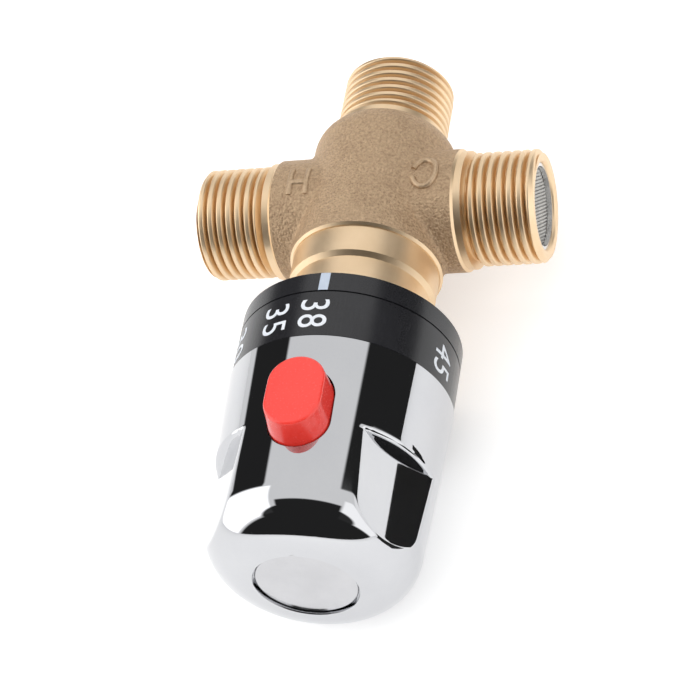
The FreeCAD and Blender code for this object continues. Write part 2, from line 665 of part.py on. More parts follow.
def overtravel_spring():
    """Stiff spring between the plunger and the pusher's floor."""
    start = PLUNGER_START + PLUNGER_THICKNESS
    length = PUSHER_END - PUSHER_FLOOR - start
    spring = coil(OVERTRAVEL_SPRING_D, OVERTRAVEL_SPRING_WIRE, length, OVERTRAVEL_SPRING_TURNS)
    spring.rotate(Vector(0, 0, 0), Vector(1, 0, 0), 90)
    spring.translate(Vector(0, at(start), 0))
    return spring


def hexagon(flats, start, end):
    """Make a hexagonal prism on the barrel axis."""
    radius = flats / math.sqrt(3)
    corners = [Vector(radius * math.cos(math.radians(60 * k)), at(end), radius * math.sin(math.radians(60 * k)))
               for k in range(6)]
    return Part.Face(Part.makePolygon(corners + corners[:1])).extrude(Vector(0, end - start, 0))


def bonnet_nut():
    """Threaded nut that closes the body, clamps the index ring and guides pusher and spindle."""
    nut = turned([(0, CHAMBER_END), (BONNET_THREAD_D / 2, CHAMBER_END), (BONNET_THREAD_D / 2, CLAMP_END),
                  (BONNET_FLANGE_D / 2, CLAMP_END), (BONNET_FLANGE_D / 2, BONNET_FLANGE_END),
                  (BONNET_NOSE_D / 2, BONNET_FLANGE_END), (BONNET_NOSE_D / 2, BONNET_NOSE_END),
                  (0, BONNET_NOSE_END)])
    nut = nut.fuse(hexagon(BONNET_HEX_FLATS, BONNET_FLANGE_END, BONNET_HEX_END))
    cavity = disc(PUSHER_D + 2 * LOOSE_GAP, CHAMBER_END, BONNET_CAVITY_END)
    reach = PUSHER_D / 2 + PUSHER_KEY_HEIGHT + FREE_GAP
    half = PUSHER_KEY_WIDTH / 2 + LOOSE_GAP
    keyway = block((-reach, reach), (CHAMBER_END, PUSHER_END + OVERCUT), (-half, half))
    bore = disc(SPINDLE_BORE_D, BONNET_CAVITY_END, BONNET_NOSE_END)
    groove = tube(NUT_THREAD_D, BONNET_SEAL_D, BONNET_SEAL_START, BONNET_SEAL_START + O_RING_GROOVE_WIDTH)
    return nut.cut([cavity, keyway, bore, groove]).removeSplitter()


def bonnet_o_ring():
    """O-ring that seals the bonnet nut in the body."""
    return o_ring(BONNET_SEAL_D, O_RING_WIRE, BONNET_SEAL_START + O_RING_GROOVE_WIDTH / 2)


def stop_ring():
    """Fixed ring on the bonnet's hexagon: a tab stops the catch at rest, a wide lug ends the travel."""
    ring = disc(STOP_RING_D, BONNET_FLANGE_END, BONNET_HEX_END)
    catch = math.degrees(math.asin(CATCH_WIDTH / STOP_RING_D))
    play = math.degrees(FREE_GAP / (STOP_RING_D / 2 - FREE_GAP))
    tab_start = -catch - play - STOP_TAB_DEG
    lug_start = COLD_TURN_DEG + catch + play
    lug_deg = 360 - HOT_TURN_DEG - catch - play - lug_start
    lugs = []
    for start, sweep in ((tab_start, STOP_TAB_DEG), (lug_start, lug_deg)):
        root = sector(STOP_LUG_D, STOP_RING_D - 2 * STOP_LUG_ROOT, (BONNET_FLANGE_END, BONNET_HEX_END), start, sweep)
        lug = sector(STOP_LUG_D, STOP_RING_D, (BONNET_FLANGE_END, BONNET_HEX_END + STOP_TAB_LENGTH), start, sweep)
        lugs += [root, lug]
    hole = hexagon(BONNET_HEX_FLATS, BONNET_FLANGE_END, BONNET_HEX_END)
    return ring.multiFuse(lugs).removeSplitter().cut(hole)


def index_ring():
    """Fixed black ring with the index mark, its lip clamped under the bonnet's flange."""
    rim_bore = RING_BORE_D / 2
    collar = COLLAR_D / 2 + SLIDE_GAP
    web_end = INDEX_START + INDEX_WEB
    return turned([(collar, INDEX_START), (RING_D / 2, INDEX_START), (RING_D / 2, INDEX_END),
                   (rim_bore, INDEX_END), (rim_bore, web_end), (collar + INDEX_WEB, web_end),
                   (collar + INDEX_WEB, CLAMP_END), (BONNET_THREAD_D / 2 + LOOSE_GAP, CLAMP_END),
                   (BONNET_THREAD_D / 2 + LOOSE_GAP, COLLAR_END), (collar, COLLAR_END)])


def spline(diameter, depth, start, end):
    """Make a toothed round: straight-sided teeth about the barrel axis."""
    corners = []
    for index in range(2 * SPLINE_TEETH):
        radius = diameter / 2 - (depth if index % 2 else 0)
        angle = math.pi * index / SPLINE_TEETH
        corners.append(Vector(radius * math.sin(angle), at(end), radius * math.cos(angle)))
    return Part.Face(Part.makePolygon(corners + corners[:1])).extrude(Vector(0, end - start, 0))


def spindle():
    """Spindle with its inner thread, seal grooves and splined end."""
    flange = PUSHER_D / 2 - SPINDLE_FLANGE_GAP
    shaft = turned([(0, SPINDLE_FLANGE_START), (flange, SPINDLE_FLANGE_START), (flange, SPINDLE_FLANGE_END),
                    (SPINDLE_D / 2, SPINDLE_FLANGE_END), (SPINDLE_D / 2, SPLINE_START), (0, SPLINE_START)])
    shaft = shaft.fuse(spline(SPINDLE_D, SPLINE_DEPTH, SPLINE_START, SPINDLE_END))
    cuts = [disc(PUSHER_STUD_D + 2 * LOOSE_GAP, SPINDLE_FLANGE_START, SPINDLE_STUD_BORE_END),
            disc(SCREW_D, SPINDLE_END - SCREW_LENGTH - FREE_GAP, SPINDLE_END)]
    for station in SPINDLE_SEALS:
        half = SPINDLE_SEAL_WIRE / 2 + LOOSE_GAP
        cuts.append(tube(SPINDLE_D + OVERCUT, SPINDLE_SEAL_D, station - half, station + half))
    cuts.append(tube(SPINDLE_D + OVERCUT, CLIP_INNER_D, CLIP_START, CLIP_START + CLIP_THICKNESS))
    return shaft.cut(cuts)


def spindle_o_rings():
    """Pair of O-rings on the spindle."""
    return Part.makeCompound([o_ring(SPINDLE_SEAL_D, SPINDLE_SEAL_WIRE, station) for station in SPINDLE_SEALS])


def spindle_clip():
    """Open clip that keeps the spindle in the bonnet."""
    stations = (CLIP_START, CLIP_START + CLIP_THICKNESS)
    return sector(SPINDLE_D + 2 * CLIP_WIDTH, CLIP_INNER_D, stations, CLIP_MOUTH_DEG / 2, 360 - CLIP_MOUTH_DEG)


def knob_insert():
    """Splined metal insert of the knob, held by the screw."""
    body = disc(INSERT_D, HUB_START, INSERT_END)
    bore = spline(SPINDLE_BORE_D, SPLINE_DEPTH, HUB_START, SPINDLE_END)
    hole = disc(SCREW_D + 2 * LOOSE_GAP, SPINDLE_END, INSERT_END)
    return body.cut([bore, hole])


def knob_screw():
    """Cheese-head screw that holds the knob on the spindle."""
    head_end = INSERT_END + SCREW_HEAD_HEIGHT
    screw = turned([(0, SPINDLE_END - SCREW_LENGTH), (SCREW_D / 2, SPINDLE_END - SCREW_LENGTH),
                    (SCREW_D / 2, INSERT_END), (SCREW_HEAD_D / 2, INSERT_END),
                    (SCREW_HEAD_D / 2, head_end), (0, head_end)])
    half = SCREW_SLOT_WIDTH / 2
    slot = block((-SCREW_HEAD_D, SCREW_HEAD_D), (head_end - SCREW_SLOT_DEPTH, head_end), (-half, half))
    return screw.cut(slot)


def grips():
    """Flats cut into the knob's side, between the button and its back."""
    cuts = []
    for index in range(GRIP_COUNT):
        cut = block((-KNOB_TOP_D / 2, KNOB_TOP_D / 2), (GRIP_START, KNOB_END + OVERCUT),
                    (GRIP_DISTANCE, KNOB_TOP_D / 2 + OVERCUT))
        cuts.append(turned_by(cut, GRIP_FIRST_DEG + index * 360 / GRIP_COUNT))
    return cuts


def grip_rims(shell):
    """Find the outer edges of the grip flats, where they leave the knob's side and shoulder."""
    flats = [face for face in shell.Faces if isinstance(face.Surface, Part.Plane)
             and abs(face.CenterOfMass.y - at(KNOB_END)) > 0.1 and abs(face.CenterOfMass.y - at(GRADUATED_END)) > 0.1]
    rims = []
    for face in shell.Faces:
        if not isinstance(face.Surface, Part.Plane):
            for edge in face.Edges:
                if any(edge.isSame(other) for flat in flats for other in flat.Edges):
                    rims.append(edge)
    return rims


def knob_shell():
    """Chromed knob: tapered side, round shoulder, grip flats, skirt, hub and slot for the button."""
    top, end = KNOB_TOP_D / 2, KNOB_END_D / 2
    outer = turned([(0, GRADUATED_END), (top - KNOB_TOP_CHAMFER, GRADUATED_END),
                    (top, GRADUATED_END + KNOB_TOP_CHAMFER), (end, KNOB_END), (0, KNOB_END)])
    outer = outer.makeFillet(KNOB_SHOULDER, circles(outer, KNOB_END_D, KNOB_END))
    outer = outer.cut(grips())
    outer = outer.makeFillet(GRIP_EDGE, grip_rims(outer))
    skirt = disc(SKIRT_D, SKIRT_START, GRADUATED_END)
    inner = GRIP_DISTANCE - KNOB_WALL
    narrowing = GRIP_START - KNOB_WALL
    cavity = turned([(0, SKIRT_START), (SKIRT_BORE_D / 2, SKIRT_START),
                     (SKIRT_BORE_D / 2, narrowing - KNOB_WALL), (inner, narrowing),
                     (inner, KNOB_FLOOR - CROWN_CHAMFER), (inner - CROWN_CHAMFER, KNOB_FLOOR), (0, KNOB_FLOOR)])
    hub = disc(HUB_D, HUB_START, KNOB_FLOOR)
    shell = outer.fuse(skirt).cut(cavity).fuse(hub).removeSplitter()
    slot = oblong_prism(BUTTON_WIDTH + 2 * FREE_GAP, BUTTON_START - FREE_GAP, BUTTON_LENGTH + 2 * FREE_GAP,
                        BUTTON_FLANGE_LOW, BUTTON_TOP)
    seat = Part.makeCylinder((BUTTON_SPRING_D + BUTTON_SPRING_WIRE) / 2 + FREE_GAP, HUB_D,
                             Vector(0, at(BUTTON_MIDDLE), SPRING_SEAT_HEIGHT))
    cuts = [disc(INSERT_D, HUB_START, INSERT_END), disc(SCREW_ACCESS_D, INSERT_END, KNOB_END),
            disc(DISC_SKIRT_D, DISC_START - DISC_SKIRT_LENGTH, KNOB_END),
            disc(DISC_D + 2 * DISC_GROOVE, DISC_START, KNOB_END), slot, seat]
    return shell.cut(cuts)


def graduated_ring():
    """Black ring with the temperature scale, pressed on the knob's skirt."""
    return tube(RING_D, RING_BORE_D, GRADUATED_START, GRADUATED_END)


def end_disc():
    """Snap-in disc that covers the knob's screw."""
    skirt = DISC_SKIRT_D / 2
    bore = skirt - DISC_SKIRT_WALL
    skirt_end = DISC_START - DISC_SKIRT_LENGTH
    return turned([(0, KNOB_END), (DISC_D / 2, KNOB_END), (DISC_D / 2, DISC_START), (skirt, DISC_START),
                   (skirt, skirt_end), (bore, skirt_end), (bore, DISC_START), (0, DISC_START)])


def safety_button():
    """Push button with its retaining flange and the catch that meets the stop ring."""
    lower = oblong(BUTTON_WIDTH, BUTTON_START, BUTTON_LENGTH, BUTTON_SHOULDER)
    top_length = BUTTON_LENGTH - BUTTON_TOP_DRAFT - BUTTON_END_DRAFT
    upper = oblong(BUTTON_WIDTH - 2 * BUTTON_SIDE_DRAFT, BUTTON_START + BUTTON_TOP_DRAFT, top_length, BUTTON_TOP)
    head = Part.makeLoft([lower, upper], True, True)
    rim = [edge for edge in head.Edges if edge.BoundBox.ZMin > BUTTON_TOP - BUTTON_EDGE / 2]
    head = head.makeFillet(BUTTON_EDGE, rim)
    stem = oblong_prism(BUTTON_WIDTH, BUTTON_START, BUTTON_LENGTH, BUTTON_FLANGE_TOP, BUTTON_SHOULDER)
    flange = oblong_prism(BUTTON_FLANGE_WIDTH, BUTTON_START - BUTTON_FLANGE_MARGIN,
                          BUTTON_LENGTH + 2 * BUTTON_FLANGE_MARGIN, BUTTON_FLANGE_LOW, BUTTON_FLANGE_TOP)
    half = CATCH_WIDTH / 2
    arm = block((-half, half), (CATCH_START, BUTTON_MIDDLE), (BUTTON_FLANGE_LOW, BUTTON_FLANGE_TOP))
    tip = block((-half, half), (CATCH_START, CATCH_START + CATCH_THICKNESS), (BUTTON_FLANGE_LOW, CATCH_TOP))
    return head.multiFuse([stem, flange, arm, tip]).removeSplitter()


def button_spring():
    """Spring between the knob's hub and the button's flange."""
    height = BUTTON_FLANGE_LOW - SPRING_SEAT_HEIGHT
    spring = coil(BUTTON_SPRING_D, BUTTON_SPRING_WIRE, height, BUTTON_SPRING_TURNS)
    spring.translate(Vector(0, at(BUTTON_MIDDLE), SPRING_SEAT_HEIGHT))
    return spring


FITTED_AT_THE_MARK = ("bonnet_nut", "pusher", "plunger_ring", "stop_ring", "spindle", "spindle_clip",
                      "knob_insert", "knob_screw", "knob_shell", "safety_button", "button_spring")


def all_parts():
    """Return every piece by its node name."""
    parts = {
        "valve_body": valve_body(), "cartridge_sleeve": cartridge_sleeve(), "sleeve_o_rings": sleeve_o_rings(),
        "shuttle": shuttle(), "wax_element": wax_element(), "return_spring": return_spring(),
        "element_piston": element_piston(), "pusher": pusher(), "plunger_ring": plunger_ring(),
        "overtravel_plunger": overtravel_plunger(), "overtravel_spring": overtravel_spring(),
        "bonnet_nut": bonnet_nut(), "bonnet_o_ring": bonnet_o_ring(), "stop_ring": stop_ring(),
        "index_ring": index_ring(), "graduated_ring": graduated_ring(), "spindle": spindle(),
        "spindle_o_rings": spindle_o_rings(), "spindle_clip": spindle_clip(), "knob_insert": knob_insert(),
        "knob_screw": knob_screw(), "knob_shell": knob_shell(), "end_disc": end_disc(),
        "safety_button": safety_button(), "button_spring": button_spring(),
    }
    pieces = {"strainer_ring": strainer_ring, "strainer_mesh": strainer_mesh, "check_housing": check_housing,
              "check_guide": check_guide, "check_poppet": check_poppet, "check_spring": check_spring}
    for inlet, side in INLETS.items():
        for name, make in pieces.items():
            parts[f"{inlet}_{name}"] = make(side)
    for name in FITTED_AT_THE_MARK:
        parts[name] = turned_by(parts[name], MARK_DEG)
    return parts


os.makedirs("parts", exist_ok=True)
for node, shape in all_parts().items():
    shape.exportStep(f"parts/{node}.step")
    print(f"{node}: {len(shape.Solids)} solid, {shape.Volume:.1f} mm3, valid {shape.isValid()}")
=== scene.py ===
import json
import math

import bpy
from mathutils import Matrix, Vector

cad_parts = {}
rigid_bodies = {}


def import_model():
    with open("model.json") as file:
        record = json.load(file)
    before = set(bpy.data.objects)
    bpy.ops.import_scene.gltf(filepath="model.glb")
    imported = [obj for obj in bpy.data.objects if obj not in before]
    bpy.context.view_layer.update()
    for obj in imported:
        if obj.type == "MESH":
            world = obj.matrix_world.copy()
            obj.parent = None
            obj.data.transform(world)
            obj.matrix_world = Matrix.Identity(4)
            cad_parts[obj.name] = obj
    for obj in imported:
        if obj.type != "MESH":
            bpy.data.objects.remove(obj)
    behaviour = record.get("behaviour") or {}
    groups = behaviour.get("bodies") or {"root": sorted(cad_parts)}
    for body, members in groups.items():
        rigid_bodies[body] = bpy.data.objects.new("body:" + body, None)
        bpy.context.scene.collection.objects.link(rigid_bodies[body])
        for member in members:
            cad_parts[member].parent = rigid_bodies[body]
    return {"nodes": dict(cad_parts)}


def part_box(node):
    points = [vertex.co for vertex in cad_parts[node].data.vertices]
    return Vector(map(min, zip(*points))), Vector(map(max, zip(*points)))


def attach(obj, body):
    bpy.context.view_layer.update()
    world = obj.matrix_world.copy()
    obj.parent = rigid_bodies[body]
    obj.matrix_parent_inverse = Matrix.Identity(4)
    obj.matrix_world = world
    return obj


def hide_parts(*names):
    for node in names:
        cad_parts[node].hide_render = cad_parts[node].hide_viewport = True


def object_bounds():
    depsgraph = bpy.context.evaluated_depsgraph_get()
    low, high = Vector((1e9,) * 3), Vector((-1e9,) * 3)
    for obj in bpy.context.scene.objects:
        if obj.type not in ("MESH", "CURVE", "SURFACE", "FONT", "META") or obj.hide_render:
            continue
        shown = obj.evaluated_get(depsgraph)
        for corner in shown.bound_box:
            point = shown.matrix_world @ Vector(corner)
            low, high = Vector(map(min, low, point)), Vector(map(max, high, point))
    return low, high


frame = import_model()
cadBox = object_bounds()
mm = 0.001


# Small helpers

def deselectAll():
    if bpy.context.mode != "OBJECT":
        bpy.ops.object.mode_set(mode="OBJECT")
    bpy.ops.object.select_all(action="DESELECT")


def activate(piece):
    deselectAll()
    piece.select_set(True)
    bpy.context.view_layer.objects.active = piece


def finishPlace(piece):
    activate(piece)
    bpy.ops.object.transform_apply(location=True, rotation=True, scale=True)


def applyModifier(piece, kind, **values):
    activate(piece)
    modifier = piece.modifiers.new(kind.title(), kind)
    for key, value in values.items():
        setattr(modifier, key, value)
    bpy.ops.object.modifier_apply(modifier=modifier.name)


def smoothByAngle(piece, degrees=30):
    activate(piece)
    bpy.ops.object.shade_smooth_by_angle(angle=math.radians(degrees))


def fixNormals(piece, gap=0.00001):
    activate(piece)
    bpy.ops.object.mode_set(mode="EDIT")
    bpy.ops.mesh.select_all(action="SELECT")
    bpy.ops.mesh.remove_doubles(threshold=gap)
    bpy.ops.mesh.normals_make_consistent(inside=False)
    bpy.ops.object.mode_set(mode="OBJECT")


def joinPieces(pieces, name):
    activate(pieces[0])
    for piece in pieces:
        piece.select_set(True)
    bpy.ops.object.join()
    pieces[0].name = pieces[0].data.name = name
    return pieces[0]


def copyOfNode(node, name):
    mesh = frame["nodes"][node].data.copy()  # the node's own mesh stays as it is
    piece = bpy.data.objects.new(name, mesh)
    mesh.name = name
    bpy.context.scene.collection.objects.link(piece)
    activate(piece)
    bpy.ops.object.mode_set(mode="EDIT")
    bpy.ops.mesh.select_all(action="SELECT")
    bpy.ops.mesh.remove_doubles(threshold=0.000002)
    bpy.ops.object.mode_set(mode="OBJECT")
    if mesh.has_custom_normals:
        bpy.ops.mesh.customdata_custom_splitnormals_clear()
    mesh.materials.clear()
    return piece


def drawnOutline(name, points, closed):
    mesh = bpy.data.meshes.new(name)
    edges = [(i, i + 1) for i in range(len(points) - 1)]
    if closed:
        edges.append((len(points) - 1, 0))
    mesh.from_pydata(points, edges, [])
    piece = bpy.data.objects.new(name, mesh)
    bpy.context.scene.collection.objects.link(piece)
    return piece


def spunPiece(name, profile, steps, closed=True):
    piece = drawnOutline(name, [(radius, place, 0) for radius, place in profile], closed)
    activate(piece)
    bpy.ops.object.mode_set(mode="EDIT")
    bpy.ops.mesh.select_all(action="SELECT")
    bpy.ops.mesh.spin(steps=steps, angle=math.tau, center=(0, 0, 0), axis=(0, 1, 0))
    bpy.ops.object.mode_set(mode="OBJECT")
    fixNormals(piece)
    return piece


def ride(piece, body, slotName, material, *nodes):
    piece.data.materials.clear()
    piece.data.materials.append(material)
    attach(piece, body)
    if nodes:
        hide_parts(*nodes)
    return piece


# Shared surface effects, one node group each

def newGroup(name, inputs, outputs):
    group = bpy.data.node_groups.new(name, "ShaderNodeTree")
    for socket, kind, value in inputs:
        made = group.interface.new_socket(socket, in_out="INPUT", socket_type=kind)
        if value is not None:
            made.default_value = value
    for socket, kind in outputs:
        group.interface.new_socket(socket, in_out="OUTPUT", socket_type=kind)
    return group, group.nodes.new("NodeGroupInput"), group.nodes.new("NodeGroupOutput")


def mathNode(tree, operation, first, second=None, third=None):
    node = tree.nodes.new("ShaderNodeMath")
    node.operation = operation
    for slot, value in enumerate((first, second, third)):
        if value is None:
            continue
        if isinstance(value, (int, float)):
            node.inputs[slot].default_value = value
        else:
            tree.links.new(value, node.inputs[slot])
    return node.outputs[0]


def noiseNode(tree, vector, scale, detail=2.0, roughness=0.5):
    node = tree.nodes.new("ShaderNodeTexNoise")
    node.inputs["Detail"].default_value = detail
    node.inputs["Roughness"].default_value = roughness
    tree.links.new(vector, node.inputs["Vector"])
    if isinstance(scale, (int, float)):
        node.inputs["Scale"].default_value = scale
    else:
        tree.links.new(scale, node.inputs["Scale"])
    return node.outputs["Fac"]


def makeGrainGroup():
    group, start, end = newGroup(
        "surfaceGrain",
        [("Vector", "NodeSocketVector", None), ("Fine Scale", "NodeSocketFloat", 3000.0),
         ("Patch Scale", "NodeSocketFloat", 90.0)],
        [("Grain", "NodeSocketFloat"), ("Patches", "NodeSocketFloat"), ("Specks", "NodeSocketFloat")])
    grain = noiseNode(group, start.outputs["Vector"], start.outputs["Fine Scale"], 3.0, 0.6)
    patches = noiseNode(group, start.outputs["Vector"], start.outputs["Patch Scale"], 4.0, 0.55)
    cells = group.nodes.new("ShaderNodeTexVoronoi")
    group.links.new(start.outputs["Vector"], cells.inputs["Vector"])
    group.links.new(start.outputs["Fine Scale"], cells.inputs["Scale"])
    specks = mathNode(group, "SUBTRACT", 1.0, cells.outputs["Distance"])
    group.links.new(grain, end.inputs["Grain"])
    group.links.new(patches, end.inputs["Patches"])
    group.links.new(specks, end.inputs["Specks"])
    return group


def makeTurnedGroup():
    group, start, end = newGroup(
        "turnedMarks",
        [("Along", "NodeSocketFloat", 0.0), ("Vector", "NodeSocketVector", None),
         ("Lines", "NodeSocketFloat", 9000.0)],
        [("Marks", "NodeSocketFloat")])
    spread = group.nodes.new("ShaderNodeCombineXYZ")
    scaled = mathNode(group, "MULTIPLY", start.outputs["Along"], start.outputs["Lines"])
    group.links.new(scaled, spread.inputs["X"])
    rings = noiseNode(group, spread.outputs[0], 1.0, 2.0, 0.7)
    wander = noiseNode(group, start.outputs["Vector"], 300.0, 2.0)
    mixed = mathNode(group, "MULTIPLY_ADD", wander, 0.25, mathNode(group, "MULTIPLY", rings, 0.75))
    group.links.new(mixed, end.inputs["Marks"])
    return group


def makeWearGroup():
    group, start, end = newGroup(
        "handlingWear",
        [("Vector", "NodeSocketVector", None), ("Amount", "NodeSocketFloat", 0.3)],
        [("Wear", "NodeSocketFloat"), ("Scuffs", "NodeSocketFloat")])
    smears = noiseNode(group, start.outputs["Vector"], 140.0, 5.0, 0.65)
    stretch = group.nodes.new("ShaderNodeMapping")
    stretch.inputs["Scale"].default_value = (3000.0, 260.0, 900.0)
    group.links.new(start.outputs["Vector"], stretch.inputs["Vector"])
    lines = noiseNode(group, stretch.outputs[0], 1.0, 1.0)
    sharp = mathNode(group, "POWER", lines, 5.0)
    wear = mathNode(group, "MULTIPLY", smears, start.outputs["Amount"])
    group.links.new(wear, end.inputs["Wear"])
    group.links.new(mathNode(group, "MULTIPLY", sharp, start.outputs["Amount"]), end.inputs["Scuffs"])
    return group


grainGroup = makeGrainGroup()
turnedGroup = makeTurnedGroup()
wearGroup = makeWearGroup()


def placeGroup(tree, group, vector, **values):
    node = tree.nodes.new("ShaderNodeGroup")
    node.node_tree = group
    tree.links.new(vector, node.inputs["Vector"])
    for key, value in values.items():
        socket = node.inputs[key.replace("_", " ")]
        if isinstance(value, (int, float)):
            socket.default_value = value
        else:
            tree.links.new(value, socket)
    return node


def blendColours(tree, factor, low, high):
    node = tree.nodes.new("ShaderNodeMix")
    node.data_type = "RGBA"
    tree.links.new(factor, node.inputs["Factor"])
    for name, value in (("A", low), ("B", high)):
        socket = [s for s in node.inputs if s.name == name and s.type == "RGBA"][0]
        if isinstance(value, tuple):
            socket.default_value = (*value, 1)
        else:
            tree.links.new(value, socket)
    return [s for s in node.outputs if s.type == "RGBA"][0]


def spreadValue(tree, value, low, high, fromLow=0.3, fromHigh=0.7):
    node = tree.nodes.new("ShaderNodeMapRange")
    node.inputs["From Min"].default_value = fromLow
    node.inputs["From Max"].default_value = fromHigh
    node.inputs["To Min"].default_value = low
    node.inputs["To Max"].default_value = high
    tree.links.new(value, node.inputs["Value"])
    return node.outputs["Result"]


def makeFinish(name, look):
    material = bpy.data.materials.new(name)
    material.use_nodes = True
    tree = material.node_tree
    shader = tree.nodes["Principled BSDF"]
    place = tree.nodes.new("ShaderNodeTexCoord").outputs["Object"]
    grain = placeGroup(tree, grainGroup, place, Fine_Scale=look["fine"], Patch_Scale=look["patch"])
    wear = placeGroup(tree, wearGroup, place, Amount=look["wear"])
    patches = spreadValue(tree, grain.outputs["Patches"], 0, 1)
    tint = blendColours(tree, patches, look["dark"], look["light"])
    speck = spreadValue(tree, grain.outputs["Grain"], 0, look.get("speckle", 0.1))
    tint = blendColours(tree, speck, tint, look["worn"])
    tint = blendColours(tree, wear.outputs["Scuffs"], tint, look["worn"])
    tree.links.new(tint, shader.inputs["Base Color"])
    rough = spreadValue(tree, grain.outputs["Grain"], look["rough"][0], look["rough"][1])
    rough = mathNode(tree, "ADD", rough, mathNode(tree, "MULTIPLY", wear.outputs["Wear"], look["smear"]))
    tree.links.new(rough, shader.inputs["Roughness"])
    specks = mathNode(tree, "MULTIPLY", grain.outputs["Specks"], look.get("specks", 0.0))
    height = mathNode(tree, "ADD", grain.outputs["Grain"], specks)
    if look.get("turned"):
        parts = tree.nodes.new("ShaderNodeSeparateXYZ")
        tree.links.new(place, parts.inputs[0])
        along = parts.outputs[look["turned"]]
        turned = placeGroup(tree, turnedGroup, place, Along=along, Lines=look["lines"])
        height = mathNode(tree, "ADD", mathNode(tree, "MULTIPLY", height, 0.3), turned.outputs["Marks"])
    bump = tree.nodes.new("ShaderNodeBump")
    bump.inputs["Strength"].default_value = look["bump"]
    bump.inputs["Distance"].default_value = look["depth"] * mm
    tree.links.new(height, bump.inputs["Height"])
    tree.links.new(bump.outputs["Normal"], shader.inputs["Normal"])
    shader.inputs["Metallic"].default_value = look["metal"]
    shader.inputs["Coat Weight"].default_value = look.get("coat", 0.0)
    shader.inputs["Coat Roughness"].default_value = 0.08
    return material


